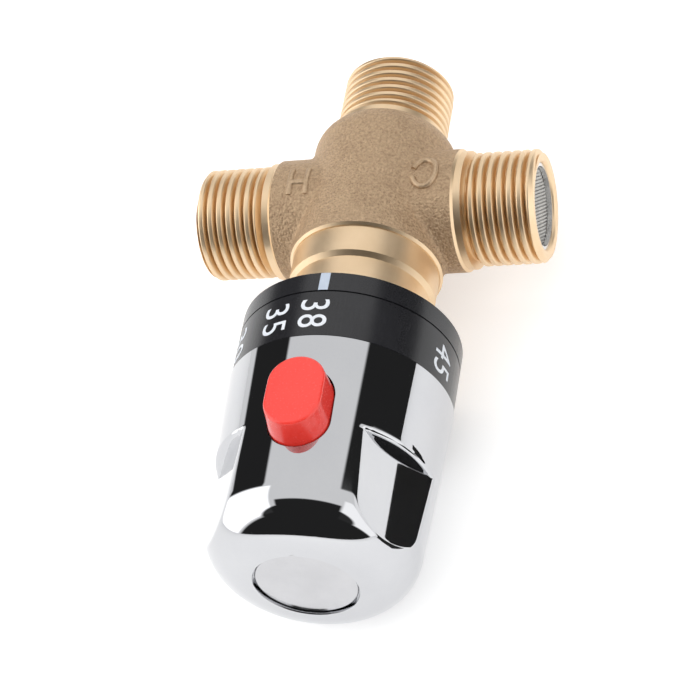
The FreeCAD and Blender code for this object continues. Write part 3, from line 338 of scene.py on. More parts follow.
finishes = {
    "castBrass": {"dark": (0.34, 0.215, 0.125), "light": (0.46, 0.31, 0.19), "worn": (0.84, 0.63, 0.41),
                  "metal": 0.6, "rough": (0.42, 0.66), "fine": 2000.0, "patch": 130.0, "specks": 0.9,
                  "speckle": 0.6, "wear": 0.5, "smear": 0.08, "bump": 1.0, "depth": 0.21},
    "letterBrass": {"dark": (0.44, 0.30, 0.18), "light": (0.56, 0.40, 0.26), "worn": (0.88, 0.68, 0.46),
                    "metal": 0.7, "rough": (0.34, 0.5), "fine": 2400.0, "patch": 130.0, "specks": 0.5,
                    "speckle": 0.4, "wear": 0.5, "smear": 0.08, "bump": 0.6, "depth": 0.08},
    "turnedBrass": {"dark": (0.82, 0.61, 0.385), "light": (0.91, 0.695, 0.46), "worn": (0.97, 0.80, 0.58),
                    "metal": 1.0, "rough": (0.37, 0.47), "fine": 3000.0, "patch": 150.0, "turned": "Y",
                    "lines": 3600.0, "wear": 0.3, "smear": 0.05, "bump": 0.3, "depth": 0.012},
    "inletBrass": {"dark": (0.82, 0.61, 0.385), "light": (0.91, 0.695, 0.46), "worn": (0.97, 0.80, 0.58),
                   "metal": 1.0, "rough": (0.37, 0.47), "fine": 3000.0, "patch": 150.0, "turned": "X",
                   "lines": 3600.0, "wear": 0.3, "smear": 0.05, "bump": 0.3, "depth": 0.012},
    "chromePlate": {"dark": (0.53, 0.535, 0.555), "light": (0.56, 0.565, 0.58), "worn": (0.62, 0.62, 0.63),
                    "metal": 1.0, "rough": (0.02, 0.035), "fine": 1200.0, "patch": 60.0, "wear": 0.12,
                    "smear": 0.03, "bump": 0.02, "depth": 0.01},
    "brushedChrome": {"dark": (0.50, 0.50, 0.515), "light": (0.56, 0.56, 0.575), "worn": (0.64, 0.64, 0.65),
                      "metal": 1.0, "rough": (0.12, 0.2), "fine": 3000.0, "patch": 120.0, "turned": "X",
                      "lines": 6000.0, "wear": 0.3, "smear": 0.05, "bump": 0.12, "depth": 0.01},
    "blackPlastic": {"dark": (0.011, 0.011, 0.013), "light": (0.018, 0.018, 0.021),
                     "worn": (0.05, 0.05, 0.054), "metal": 0.0, "rough": (0.20, 0.25),
                     "fine": 3500.0, "patch": 120.0, "wear": 0.4, "smear": 0.06, "bump": 0.05,
                     "depth": 0.008},
    "redPlastic": {"dark": (0.93, 0.045, 0.032), "light": (0.98, 0.056, 0.040), "worn": (0.99, 0.12, 0.10),
                   "metal": 0.0, "rough": (0.20, 0.28), "fine": 2500.0, "patch": 130.0, "wear": 0.25,
                   "smear": 0.06, "bump": 0.08, "depth": 0.02, "coat": 0.25},
    "markPaint": {"dark": (0.50, 0.58, 0.70), "light": (0.60, 0.67, 0.78), "worn": (0.45, 0.5, 0.58),
                  "metal": 0.0, "rough": (0.4, 0.5), "fine": 5000.0, "patch": 300.0, "wear": 0.3,
                  "smear": 0.1, "bump": 0.08, "depth": 0.01},
    "dialPaint": {"dark": (0.78, 0.82, 0.88), "light": (0.88, 0.91, 0.95), "worn": (0.6, 0.63, 0.68),
                  "metal": 0.0, "rough": (0.4, 0.5), "fine": 5000.0, "patch": 300.0, "wear": 0.3,
                  "smear": 0.1, "bump": 0.08, "depth": 0.01},
    "steelWire": {"dark": (0.42, 0.41, 0.39), "light": (0.56, 0.55, 0.52), "worn": (0.72, 0.71, 0.69),
                  "metal": 1.0, "rough": (0.24, 0.36), "fine": 4000.0, "patch": 200.0, "wear": 0.3,
                  "smear": 0.05, "bump": 0.1, "depth": 0.01},
    "brightSteel": {"dark": (0.62, 0.62, 0.63), "light": (0.72, 0.72, 0.73), "worn": (0.8, 0.8, 0.8),
                    "metal": 1.0, "rough": (0.12, 0.22), "fine": 3000.0, "patch": 150.0, "turned": "X",
                    "lines": 6000.0, "wear": 0.25, "smear": 0.05, "bump": 0.12, "depth": 0.01},
    "drawnCopper": {"dark": (0.62, 0.3, 0.18), "light": (0.78, 0.42, 0.27), "worn": (0.88, 0.56, 0.4),
                    "metal": 1.0, "rough": (0.22, 0.34), "fine": 3000.0, "patch": 130.0, "turned": "Y",
                    "lines": 6000.0, "wear": 0.3, "smear": 0.06, "bump": 0.15, "depth": 0.01},
    "mouldedAcetal": {"dark": (0.76, 0.76, 0.72), "light": (0.84, 0.84, 0.81), "worn": (0.9, 0.9, 0.88),
                      "metal": 0.0, "rough": (0.38, 0.5), "fine": 2800.0, "patch": 120.0, "wear": 0.25,
                      "smear": 0.06, "bump": 0.12, "depth": 0.02},
    "sealRubber": {"dark": (0.02, 0.02, 0.02), "light": (0.035, 0.035, 0.035), "worn": (0.08, 0.08, 0.08),
                   "metal": 0.0, "rough": (0.5, 0.65), "fine": 3200.0, "patch": 140.0, "wear": 0.3,
                   "smear": 0.08, "bump": 0.2, "depth": 0.02},
}
materials = {name: makeFinish(name, look) for name, look in finishes.items()}

slotFinish = {
    "machined_brass": "turnedBrass", "acetal": "mouldedAcetal", "rubber_seal": "sealRubber",
    "copper_element": "drawnCopper", "spring_steel": "steelWire", "polished_steel": "brightSteel",
    "steel_mesh": "steelWire", "black_plastic": "blackPlastic", "chrome_shell": "chromePlate",
    "red_plastic": "redPlastic", "check_plastic": "mouldedAcetal", "cast_brass": "castBrass",
}
print("finishes made:", len(materials))


# Every carried-over node takes the finish of its own slot

for node in frame["nodes"].values():
    for holder in node.material_slots:
        used = (holder.material.name if holder.material else "").split(".")[0]
        holder.material = materials[slotFinish.get(used, "turnedBrass")]
print("nodes painted:", len(frame["nodes"]))


# Body: the cast shape, with its three ends taken off for the threaded sleeves

bodySizes = {"portLength": 13.3, "sleeveGap": 0.02, "inletStation": 31.5, "smoothAngle": 28}
# Where the cast skin ends: distances along the barrel and the arms, and radii about each axis
skinEnds = {"collar": 44.44, "outletNeck": 14.62, "neckRadius": 11.0, "armFace": 17.24,
            "armRadius": 11.38, "inletBore": 8.6, "inletBoreInside": 9.0, "barrelBore": 10.7}
skinFinishes = {"cast": 0, "barrel": 1, "inlet": 2}

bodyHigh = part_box("valve_body")[1]
outletEnd = bodyHigh.y
inletEnd = bodyHigh.x
inletY = outletEnd - bodySizes["inletStation"] * mm


def bisectAndClose(piece, place, direction):
    activate(piece)
    bpy.ops.object.mode_set(mode="EDIT")
    bpy.ops.mesh.select_all(action="SELECT")
    bpy.ops.mesh.bisect(plane_co=place, plane_no=direction, clear_outer=True, use_fill=False)
    bpy.ops.mesh.bridge_edge_loops()
    bpy.ops.object.mode_set(mode="OBJECT")


castBody = copyOfNode("valve_body", "castBody")
cutBack = (bodySizes["portLength"] + bodySizes["sleeveGap"]) * mm
bisectAndClose(castBody, (0, outletEnd - cutBack, 0), (0, 1, 0))
bisectAndClose(castBody, (inletEnd - cutBack, inletY, 0), (1, 0, 0))
bisectAndClose(castBody, (-inletEnd + cutBack, inletY, 0), (-1, 0, 0))
smoothByAngle(castBody, bodySizes["smoothAngle"])
ride(castBody, "body", "cast_brass", materials["castBrass"], "valve_body")
castBody.data.materials.append(materials["turnedBrass"])
castBody.data.materials.append(materials["inletBrass"])


def bodyFinish(centre):
    station = (outletEnd - centre.y) / mm
    reach = abs(centre.x) / mm
    fromBarrel = math.hypot(centre.x, centre.z) / mm
    fromArm = math.hypot(centre.y - inletY, centre.z) / mm
    if reach > skinEnds["armFace"] and fromArm < skinEnds["armRadius"]:
        return skinFinishes["inlet"]
    if station > skinEnds["collar"]:
        return skinFinishes["barrel"]
    if station < skinEnds["outletNeck"] and fromBarrel < skinEnds["neckRadius"]:
        return skinFinishes["barrel"]
    if fromArm < skinEnds["inletBore"] and reach > skinEnds["inletBoreInside"]:
        return skinFinishes["inlet"]
    return skinFinishes["barrel"] if fromBarrel < skinEnds["barrelBore"] else skinFinishes["cast"]


for polygon in castBody.data.polygons:
    polygon.material_index = bodyFinish(polygon.center)
print("body:", len(castBody.data.polygons), "faces")


# Threaded sleeves on the three ports

threadSizes = {"pitch": 1.814, "crest": 10.4775, "root": 9.3155, "bore": 8.0, "boreChamfer": 0.45,
               "endRadius": 9.6775, "chamfer": 0.8, "runOutStart": 11.9, "runOut": 0.95, "relief": 13.3,
               "rootFlat": 0.06, "flank": 0.62, "roundness": 0.9, "steps": 168, "rings": 150,
               "smoothAngle": 50}


def threadHeight(phase):
    away = abs(2 * phase - 1)  # 0 on the crest, 1 in the root
    rise = min(max((1 - away - threadSizes["rootFlat"]) / threadSizes["flank"], 0), 1)
    return math.sin(rise * math.pi / 2) ** threadSizes["roundness"]


def threadedSleeve(name, end, axis, finish):
    sizes = threadSizes
    outer = [sizes["relief"] * i / sizes["rings"] for i in range(sizes["rings"] + 1)]
    profile = [(sizes["bore"] * mm, -sizes["relief"] * mm),
               (sizes["bore"] * mm, -sizes["boreChamfer"] * mm),
               ((sizes["bore"] + sizes["boreChamfer"]) * mm, 0)]
    profile += [(sizes["endRadius"] * mm, -place * mm) for place in outer]
    piece = spunPiece(name, profile, sizes["steps"])
    for vertex in piece.data.vertices:
        radius = math.hypot(vertex.co.x, vertex.co.z)
        if radius < (sizes["endRadius"] - 0.01) * mm:
            continue
        place = -vertex.co.y / mm
        turn = math.atan2(vertex.co.x, vertex.co.z) / math.tau  # right-handed round +Y
        phase = (-place / sizes["pitch"] - turn) % 1.0
        depth = sizes["crest"] - sizes["root"]
        shape = sizes["root"] + depth * threadHeight(phase)
        entry = sizes["endRadius"] + (sizes["crest"] - sizes["endRadius"]) * place / sizes["chamfer"]
        runOut = sizes["crest"] - depth * min(max((place - sizes["runOutStart"]) / sizes["runOut"], 0), 1)
        wanted = min(max(shape, sizes["root"]), entry, max(runOut, sizes["root"]), sizes["crest"])
        scale = wanted * mm / radius
        vertex.co.x *= scale
        vertex.co.z *= scale
    direction = Vector(axis)
    turnTo = Vector((0, 1, 0)).rotation_difference(direction).to_matrix().to_4x4()
    piece.data.transform(Matrix.Translation(Vector(end)) @ turnTo)
    smoothByAngle(piece, sizes["smoothAngle"])
    return ride(piece, "body", "machined_brass", materials[finish])


threadedSleeve("outletThread", (0, outletEnd, 0), (0, 1, 0), "turnedBrass")
threadedSleeve("coldThread", (inletEnd, inletY, 0), (1, 0, 0), "inletBrass")
threadedSleeve("hotThread", (-inletEnd, inletY, 0), (-1, 0, 0), "inletBrass")
print("threads made")


# Knob shell: turned round the barrel axis, then the three grip flats and the button's slot

knobSizes = {"start": 74.4, "end": 112.2, "topRadius": 20.2, "endRadius": 18.45, "topChamfer": 0.35,
             "shoulder": 8.8, "flatDistance": 17.2, "flatStart": 91.4, "flatAngles": (62.3, 182.3, 302.3),
             "rim": 0.3, "ledgeEdge": 0.8, "steps": 480, "smoothAngle": 38}
knobInside = {"recess": 9.2, "recessFloor": 110.8, "neck": 7.7, "neckEnd": 105.8, "insertSeat": 7.8,
              "roof": 104.0, "roofRadius": 14.1, "cavity": 15.6, "roofChamfer": 102.5, "wallStart": 89.8,
              "skirt": 17.35, "skirtTaper": 88.2, "skirtEnd": 66.0, "skirtOutside": 18.15}
# Rows of faces along the knob, closer together at the ledge and round the shoulder
knobRows = {"chamfer": 0.12, "side": 75.5, "sideCount": 20, "edgeCount": 12, "wallStart": 0.02,
            "wallStep": 0.03, "wallCount": 6, "flat": 0.3, "flatCount": 26, "shoulderCount": 60}
knobSkin = {"afterStart": 0.5, "beforeEnd": 0.002, "depth": 0.004, "afterLedge": 0.001, "leastEdge": 0.0005}
slotSizes = {"start": 81.6, "end": 96.8, "halfWidth": 5.3, "gap": 0.3, "degrees": 2.3, "vertices": 64,
             "depth": 16.0, "middle": 20.0}
notchSizes = {"radius": 0.8, "middle": 8.85, "depth": 0.7, "degrees": 2.3, "vertices": 32}


def placeOf(station):
    return outletEnd - station * mm


def knobRadius(station):
    sizes = knobSizes
    sideStart = sizes["start"] + sizes["topChamfer"]
    slope = (sizes["topRadius"] - sizes["endRadius"]) / (sizes["end"] - sideStart)
    side = sizes["topRadius"] - slope * (station - sideStart)
    if station < sideStart:
        return sizes["topRadius"] - sizes["topChamfer"] + station - sizes["start"]
    radius = sizes["shoulder"]
    tilt = math.atan(slope)
    centre = sizes["end"] - radius  # the rounding touches the end face and the tapered side
    middle = side + slope * (station - centre) - radius / math.cos(tilt)
    if station <= centre + radius * math.sin(tilt):
        return side
    return middle + math.sqrt(max(radius ** 2 - (station - centre) ** 2, 0))


def evenSteps(start, end, count):
    return [start + (end - start) * i / count for i in range(count + 1)]


def outerStations():
    sizes, count = knobSizes, knobRows
    ledge = sizes["flatStart"]
    edgeStart = ledge - sizes["ledgeEdge"]
    flatStart = ledge + count["flat"]
    centre = sizes["end"] - sizes["shoulder"]
    rows = [sizes["start"], sizes["start"] + count["chamfer"], sizes["start"] + sizes["topChamfer"]]
    rows += evenSteps(count["side"], edgeStart, count["sideCount"])
    rows += evenSteps(edgeStart, ledge, count["edgeCount"])[1:]  # rounded edge of the ledge
    rows += [ledge + count["wallStart"] + count["wallStep"] * i for i in range(count["wallCount"])]
    rows += evenSteps(flatStart, centre, count["flatCount"])
    turns = evenSteps(0, math.pi / 2, count["shoulderCount"])[1:]
    return rows + [centre + sizes["shoulder"] * math.sin(turn) for turn in turns]


def softLower(first, second, blend):
    near = max(blend - abs(first - second), 0) / blend
    return min(first, second) - near * near * blend / 4


def flatRadius(degrees):
    sizes = knobSizes
    away = min(abs((degrees - angle + 180) % 360 - 180) for angle in sizes["flatAngles"])
    return sizes["flatDistance"] / math.cos(math.radians(away))


def outerPoint(degrees, station):
    sizes = knobSizes
    plain = knobRadius(station)
    flat = flatRadius(degrees)
    ledge = sizes["flatStart"]
    if station > ledge + knobSkin["afterLedge"]:
        return softLower(plain, flat, sizes["rim"]), station
    depth = knobRadius(ledge) - softLower(knobRadius(ledge), flat, sizes["rim"])
    edge = min(depth, sizes["ledgeEdge"])
    if station <= ledge - sizes["ledgeEdge"] or edge <= knobSkin["leastEdge"]:
        return plain, station
    turn = (station - ledge + sizes["ledgeEdge"]) / sizes["ledgeEdge"] * math.pi / 2
    weight = min(edge / sizes["ledgeEdge"], 1)
    rounded = ledge - edge * (1 - math.sin(turn))
    weight = weight * weight * (3 - 2 * weight)
    return plain - edge * (1 - math.cos(turn)), station + (rounded - station) * weight


def makeKnobShell():
    sizes, inside = knobSizes, knobInside
    inner = [(inside["recess"], sizes["end"]), (inside["recess"], inside["recessFloor"]),
             (inside["neck"], inside["recessFloor"]), (inside["neck"], inside["neckEnd"]),
             (inside["insertSeat"], inside["roof"]), (inside["roofRadius"], inside["roof"]),
             (inside["cavity"], inside["roofChamfer"]), (inside["cavity"], inside["wallStart"]),
             (inside["skirt"], inside["skirtTaper"]), (inside["skirt"], inside["skirtEnd"]),
             (inside["skirtOutside"], inside["skirtEnd"]), (inside["skirtOutside"], sizes["start"])]
    rows = outerStations()
    profile = [(knobRadius(station) * mm, placeOf(station)) for station in rows]
    profile += [(radius * mm, placeOf(station)) for radius, station in inner]
    shell = spunPiece("knobShell", profile, sizes["steps"])
    first = sizes["start"] + knobSkin["afterStart"]
    last = sizes["end"] - knobSkin["beforeEnd"]
    for vertex in shell.data.vertices:
        radius = math.hypot(vertex.co.x, vertex.co.z)
        station = (outletEnd - vertex.co.y) / mm
        if first < station < last and radius / mm > knobRadius(station) - knobSkin["depth"]:
            degrees = math.degrees(math.atan2(vertex.co.x, vertex.co.z))
            wanted, place = outerPoint(degrees, station)
            scale = wanted * mm / radius
            vertex.co = (vertex.co.x * scale, placeOf(place), vertex.co.z * scale)
    fixNormals(shell, 0.000002)
    return shell


def slotCutter():
    sizes = slotSizes
    gap = sizes["gap"] * mm
    half = sizes["halfWidth"] * mm + gap
    near = placeOf(sizes["start"]) + gap - half
    far = placeOf(sizes["end"]) - gap + half
    deselectAll()
    bpy.ops.mesh.primitive_cylinder_add(vertices=sizes["vertices"], radius=half, depth=sizes["depth"] * mm,
                                        location=(0, near, sizes["middle"] * mm))
    cutter = bpy.context.object
    finishPlace(cutter)
    for vertex in cutter.data.vertices:  # the round is drawn out to the length of the slot
        if vertex.co.y < near + 0.000001:
            vertex.co.y += far - near
    cutter.data.transform(Matrix.Rotation(math.radians(sizes["degrees"]), 4, "Y"))
    return cutter


def notchCutter():
    sizes = notchSizes
    angle = math.radians(sizes["degrees"])
    middle = sizes["middle"] * mm
    place = (middle * math.sin(angle), placeOf(knobSizes["end"]), middle * math.cos(angle))
    deselectAll()
    bpy.ops.mesh.primitive_cylinder_add(vertices=sizes["vertices"], radius=sizes["radius"] * mm,
                                        depth=2 * sizes["depth"] * mm, location=place,
                                        rotation=(math.pi / 2, 0, 0))
    cutter = bpy.context.object
    finishPlace(cutter)
    return cutter


def cutWith(piece, cutter):
    applyModifier(piece, "BOOLEAN", operation="DIFFERENCE", object=cutter, solver="EXACT")
    bpy.data.objects.remove(cutter)


knobShell = makeKnobShell()
cutWith(knobShell, slotCutter())
cutWith(knobShell, notchCutter())
smoothByAngle(knobShell, knobSizes["smoothAngle"])
ride(knobShell, "knob", "chrome_shell", materials["chromePlate"], "knob_shell")
print("knob:", len(knobShell.data.polygons), "faces")


# Bright disc in the knob's end, on a skirt that plugs into the shell's neck

discSizes = {"radius": 8.9, "recess": 0.5, "edge": 0.3, "edgeSteps": 6, "back": 110.8, "skirt": 7.7,
             "skirtEnd": 105.8, "skirtInside": 6.7, "steps": 192, "smoothAngle": 35}


def discProfile():
    sizes = discSizes
    face = knobSizes["end"] - sizes["recess"]
    points = [(0, face)]
    for turn in evenSteps(0, math.pi / 2, sizes["edgeSteps"]):
        points.append((sizes["radius"] - sizes["edge"] * (1 - math.sin(turn)),
                       face - sizes["edge"] * (1 - math.cos(turn))))
    points += [(sizes["radius"], sizes["back"]), (sizes["skirt"], sizes["back"]),
               (sizes["skirt"], sizes["skirtEnd"]), (sizes["skirtInside"], sizes["skirtEnd"]),
               (sizes["skirtInside"], sizes["back"]), (0, sizes["back"])]
    return [(radius * mm, placeOf(station)) for radius, station in points]


endDisc = spunPiece("endDisc", discProfile(), discSizes["steps"], False)
smoothByAngle(endDisc, discSizes["smoothAngle"])
ride(endDisc, "knob", "polished_steel", materials["brushedChrome"], "end_disc")
print("end disc made")


# Dial: numbers on the black ring and the index mark on the ring above it

dialSizes = {"radius": 19.9, "raised": 0.03, "height": 5.2, "width": 5.97, "strip": 0.35,
             "letterSpace": 1.08}
dialNumbers = {"20": -140, "25": -95, "30": -55, "35": -22, "38": -0.2, "45": 76, "50": 123}  # degrees
ringLow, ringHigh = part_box("graduated_ring")
ringMiddle = (ringLow.y + ringHigh.y) / 2


def wrapOnRing(piece, middleY, degrees, radius):
    for vertex in piece.data.vertices:
        along, around, lift = vertex.co
        angle = math.radians(degrees) + around / radius
        out = radius + lift
        vertex.co = (out * math.sin(angle), middleY - along, out * math.cos(angle))


def dialNumber(text, degrees):
    sizes = dialSizes
    deselectAll()
    bpy.ops.object.text_add(location=(0, 0, 0))
    piece = bpy.context.object
    piece.data.body = text
    piece.data.align_x = "CENTER"
    piece.data.align_y = "CENTER"
    piece.data.size = 1.0
    piece.data.space_character = sizes["letterSpace"]
    bpy.ops.object.convert(target="MESH")
    piece = bpy.context.object
    lowX, highX = (pick(v.co.x for v in piece.data.vertices) for pick in (min, max))
    lowY, highY = (pick(v.co.y for v in piece.data.vertices) for pick in (min, max))
    across = sizes["width"] * mm / (highX - lowX)
    up = sizes["height"] * mm / (highY - lowY)
    toMiddle = Matrix.Translation((-(lowX + highX) / 2, -(lowY + highY) / 2, 0))
    piece.data.transform(Matrix.Diagonal((across, up, 1, 1)) @ toMiddle)
    activate(piece)
    bpy.ops.object.mode_set(mode="EDIT")
    count = int(sizes["height"] / sizes["strip"])
    for number in range(1, count):  # cut in strips, so that it can bend round the ring
        bpy.ops.mesh.select_all(action="SELECT")
        line = (number / count - 0.5) * sizes["height"] * mm
        bpy.ops.mesh.bisect(plane_co=(0, line, 0), plane_no=(0, 1, 0))
    bpy.ops.object.mode_set(mode="OBJECT")
    applyModifier(piece, "SOLIDIFY", thickness=sizes["raised"] * mm, offset=1.0)
    wrapOnRing(piece, ringMiddle, degrees, sizes["radius"] * mm)
    piece.name = piece.data.name = "dialNumber" + text
    return ride(piece, "knob", "black_plastic", materials["dialPaint"])


for text, degrees in dialNumbers.items():
    dialNumber(text, degrees)

markSizes = {"width": 1.75, "degrees": 2.3, "inset": 0.05, "along": 4, "around": 8}
indexLow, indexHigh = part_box("index_ring")
deselectAll()
bpy.ops.mesh.primitive_grid_add(x_subdivisions=markSizes["along"], y_subdivisions=markSizes["around"],
                                size=1)
indexMark = bpy.context.object
markLength = (indexHigh.y - indexLow.y) / mm - 2 * markSizes["inset"]
indexMark.data.transform(Matrix.Diagonal((markLength * mm, markSizes["width"] * mm, 1, 1)))
applyModifier(indexMark, "SOLIDIFY", thickness=dialSizes["raised"] * mm, offset=1.0)
wrapOnRing(indexMark, (indexLow.y + indexHigh.y) / 2, markSizes["degrees"], dialSizes["radius"] * mm)
indexMark.name = indexMark.data.name = "indexMark"
ride(indexMark, "body", "black_plastic", materials["markPaint"])
print("dial made")


# Cast letters on the arms, C for cold and H for hot

letterSizes = {"armRadius": 11.4, "lift": 0.02, "stroke": 1.1, "highC": 0.6, "lowH": 0.3, "smoothAngle": 60}
arcC = {"middle": 12.1, "halfAlong": 2.2, "halfDegrees": 15.5, "start": -158, "end": 163, "count": 20}
strokesH = {"far": -13.7, "near": -10.5, "halfDegrees": 15, "bar": -1.5, "count": 20, "barCount": 10}


def castStroke(points, raised, name):
    curve = bpy.data.curves.new(name, "CURVE")
    curve.dimensions = "3D"
    line = curve.splines.new("POLY")
    line.points.add(len(points) - 1)
    for place, (x, degrees) in zip(line.points, points):
        angle = math.radians(degrees)
        radius = (letterSizes["armRadius"] + letterSizes["lift"]) * mm
        place.co = (x * mm, inletY + radius * math.sin(angle), radius * math.cos(angle), 1)
    curve.bevel_depth = letterSizes["stroke"] / 2 * mm
    curve.bevel_resolution = 3
    curve.use_fill_caps = True
    piece = bpy.data.objects.new(name, curve)
    bpy.context.scene.collection.objects.link(piece)
    activate(piece)
    bpy.ops.object.convert(target="MESH")
    piece = bpy.context.object
    middle = letterSizes["armRadius"] * mm
    for vertex in piece.data.vertices:  # flattened towards the arm's own round
        around = vertex.co.y - inletY
        radius = math.hypot(around, vertex.co.z)
        flat = middle + (radius - middle) * raised / (letterSizes["stroke"] / 2)
        vertex.co.y = inletY + around * flat / radius
        vertex.co.z *= flat / radius
    return piece


def pointsOfC():
    turns = [math.radians(turn) for turn in evenSteps(arcC["start"], arcC["end"], arcC["count"])]
    return [(arcC["middle"] + arcC["halfAlong"] * math.cos(turn), arcC["halfDegrees"] * math.sin(turn))
            for turn in turns]


def pointsOfH():
    sizes = strokesH
    around = evenSteps(sizes["halfDegrees"], -sizes["halfDegrees"], sizes["count"])
    legs = [[(place, degrees) for degrees in around] for place in (sizes["far"], sizes["near"])]
    between = evenSteps(sizes["far"], sizes["near"], sizes["barCount"])
    return legs + [[(place, sizes["bar"]) for place in between]]


letterC = castStroke(pointsOfC(), letterSizes["highC"], "castLetterC")
strokes = [castStroke(points, letterSizes["lowH"], "strokeH") for points in pointsOfH()]
letterH = joinPieces(strokes, "castLetterH")
for letter in (letterC, letterH):
    smoothByAngle(letter, letterSizes["smoothAngle"])
    ride(letter, "body", "cast_brass", materials["letterBrass"])
print("letters made")


# Strainers: woven wire across each inlet

weaveSizes = {"pitch": 0.44, "wire": 0.09, "wave": 0.055, "radius": 7.33, "steps": 4, "smoothAngle": 70}


def wovenWire(offset, upright, side, face):
    half = math.sqrt(weaveSizes["radius"] ** 2 - offset ** 2)
    pitch = weaveSizes["pitch"]
    count = max(int(2 * half / pitch * weaveSizes["steps"]), 4)
    curve = bpy.data.curves.new("wire", "CURVE")
    curve.dimensions = "3D"
    line = curve.splines.new("POLY")
    line.points.add(count)
    parity = round(offset / pitch - 0.5)
    for number, place in enumerate(line.points):
        along = -half + 2 * half * number / count
        lift = math.cos(math.pi * (along / pitch - 0.5 + parity + upright)) * weaveSizes["wave"]
        first, second = (offset, along) if upright else (along, offset)
        place.co = (side * (face + lift) * mm, inletY + first * mm, second * mm, 1)
    curve.bevel_depth = weaveSizes["wire"] * mm
    curve.bevel_resolution = 0
    curve.use_fill_caps = True
    piece = bpy.data.objects.new("wire", curve)
    bpy.context.scene.collection.objects.link(piece)
    return piece


def strainerWeave(inlet, side):
    meshLow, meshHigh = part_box(inlet + "_strainer_mesh")
    face = abs(meshLow.x + meshHigh.x) / 2 / mm
    count = int(weaveSizes["radius"] / weaveSizes["pitch"])
    wires = [wovenWire((number + 0.5) * weaveSizes["pitch"], upright, side, face)
             for upright in (0, 1) for number in range(-count, count)]
    deselectAll()
    for wire in wires:
        wire.select_set(True)
    bpy.context.view_layer.objects.active = wires[0]
    bpy.ops.object.convert(target="MESH")
    piece = joinPieces(wires, inlet + "StrainerWeave")
    smoothByAngle(piece, weaveSizes["smoothAngle"])
    return ride(piece, "body", "steel_mesh", materials["steelWire"], inlet + "_strainer_mesh")


for inlet, side in (("hot", -1), ("cold", 1)):
    strainerWeave(inlet, side)
print("strainers woven")


# Studio: a pale floor. Its glow whitens it where it is looked at or mirrored, and adds no diffuse light

studio = {"floorGap": 0.15, "floorSize": 6.0, "colour": (0.86, 0.86, 0.86), "roughness": 0.9, "glow": 0.44}
deselectAll()
floorZ = min(cadBox[0].z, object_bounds()[0].z) - studio["floorGap"] * mm
bpy.ops.mesh.primitive_plane_add(size=studio["floorSize"], location=(0, 0, floorZ))
floor = bpy.context.object
floor.name = "studioFloor"
finishPlace(floor)
floorMaterial = bpy.data.materials.new("paleFloor")
floorMaterial.use_nodes = True
floorShader = floorMaterial.node_tree.nodes["Principled BSDF"]
floorShader.inputs["Base Color"].default_value = (*studio["colour"], 1)
floorShader.inputs["Roughness"].default_value = studio["roughness"]
floorShader.inputs["Specular IOR Level"].default_value = 0.0
floorShader.inputs["Emission Color"].default_value = (1, 1, 1, 1)
floorTree = floorMaterial.node_tree
floorRays = floorTree.nodes.new("ShaderNodeLightPath").outputs
floorSeen = mathNode(floorTree, "MAXIMUM", floorRays["Is Camera Ray"], mathNode(
    floorTree, "MAXIMUM", floorRays["Is Glossy Ray"], floorRays["Is Transmission Ray"]))
floorGlow = mathNode(floorTree, "MULTIPLY", floorSeen, studio["glow"])
floorTree.links.new(floorGlow, floorShader.inputs["Emission Strength"])
floor.data.materials.append(floorMaterial)


# Two small dark stands beside the knob, seen only in its polished faces

standSizes = {"place": 40.0, "flat": ((-92.0, -69.8), (-9.0, 1.6)), "ledge": ((-112.0, -95.0), (-5.0, 8.0))}
standLook = {"colour": (0.02, 0.02, 0.02), "roughness": 0.9}
standMaterial = bpy.data.materials.new("darkStand")
standMaterial.use_nodes = True
standShader = standMaterial.node_tree.nodes["Principled BSDF"]
standShader.inputs["Base Color"].default_value = (*standLook["colour"], 1)
standShader.inputs["Roughness"].default_value = standLook["roughness"]
for standName in ("flat", "ledge"):
    (nearY, farY), (lowZ, highZ) = standSizes[standName]
    place = (standSizes["place"] * mm, (nearY + farY) / 2 * mm, (lowZ + highZ) / 2 * mm)
    deselectAll()
    bpy.ops.mesh.primitive_plane_add(size=1, location=place, rotation=(0, math.pi / 2, 0))
    stand = bpy.context.object
    stand.scale = ((highZ - lowZ) * mm, (farY - nearY) * mm, 1)
    stand.name = standName + "Stand"
    finishPlace(stand)
    stand.data.materials.append(standMaterial)
    stand.visible_camera = stand.visible_diffuse = stand.visible_shadow = False
print("floor and stands placed")


# Surroundings: a white room with soft boxes and dark cards in it. Each card gives degrees from and to,
# first round the barrel axis from +Z to +X, then along it up to +Y

surroundings = {"room": 1.0, "dark": 0.025, "soft": 1.6}
softBoxes = [{"glow": 1.05, "around": (-92, -32), "along": (-35, 20)},
             {"glow": 0.55, "around": (44, 122), "along": (-38, 2)},
             {"glow": 0.25, "around": (64, 122), "along": (2, 24)}]
darkCards = [{"around": (-104, 110), "along": (-95, -38)}, {"around": (-26, 42), "along": (-40, -10)},
             {"around": (-82, -41), "along": (21.5, 62)}, {"around": (38, 92), "along": (26, 62)}]
darkHood = {"middle": (8, -38), "size": (56, 20), "soft": 0.06}

world = bpy.data.worlds.new("studioWorld")
bpy.context.scene.world = world
world.use_nodes = True
sky = world.node_tree
sky.nodes.clear()
facing = sky.nodes.new("ShaderNodeSeparateXYZ")
sky.links.new(sky.nodes.new("ShaderNodeTexCoord").outputs["Generated"], facing.inputs[0])
bearing = mathNode(sky, "ARCTAN2", facing.outputs["X"], facing.outputs["Z"])
aroundAxis = mathNode(sky, "DEGREES", bearing)
alongAxis = mathNode(sky, "DEGREES", mathNode(sky, "ARCSINE", facing.outputs["Y"]))


def edgeValue(value, edge, soft):
    node = sky.nodes.new("ShaderNodeMapRange")
    node.interpolation_type = "SMOOTHSTEP"
    node.inputs["From Min"].default_value = edge - soft
    node.inputs["From Max"].default_value = edge + soft
    sky.links.new(value, node.inputs["Value"])
    return node.outputs["Result"]


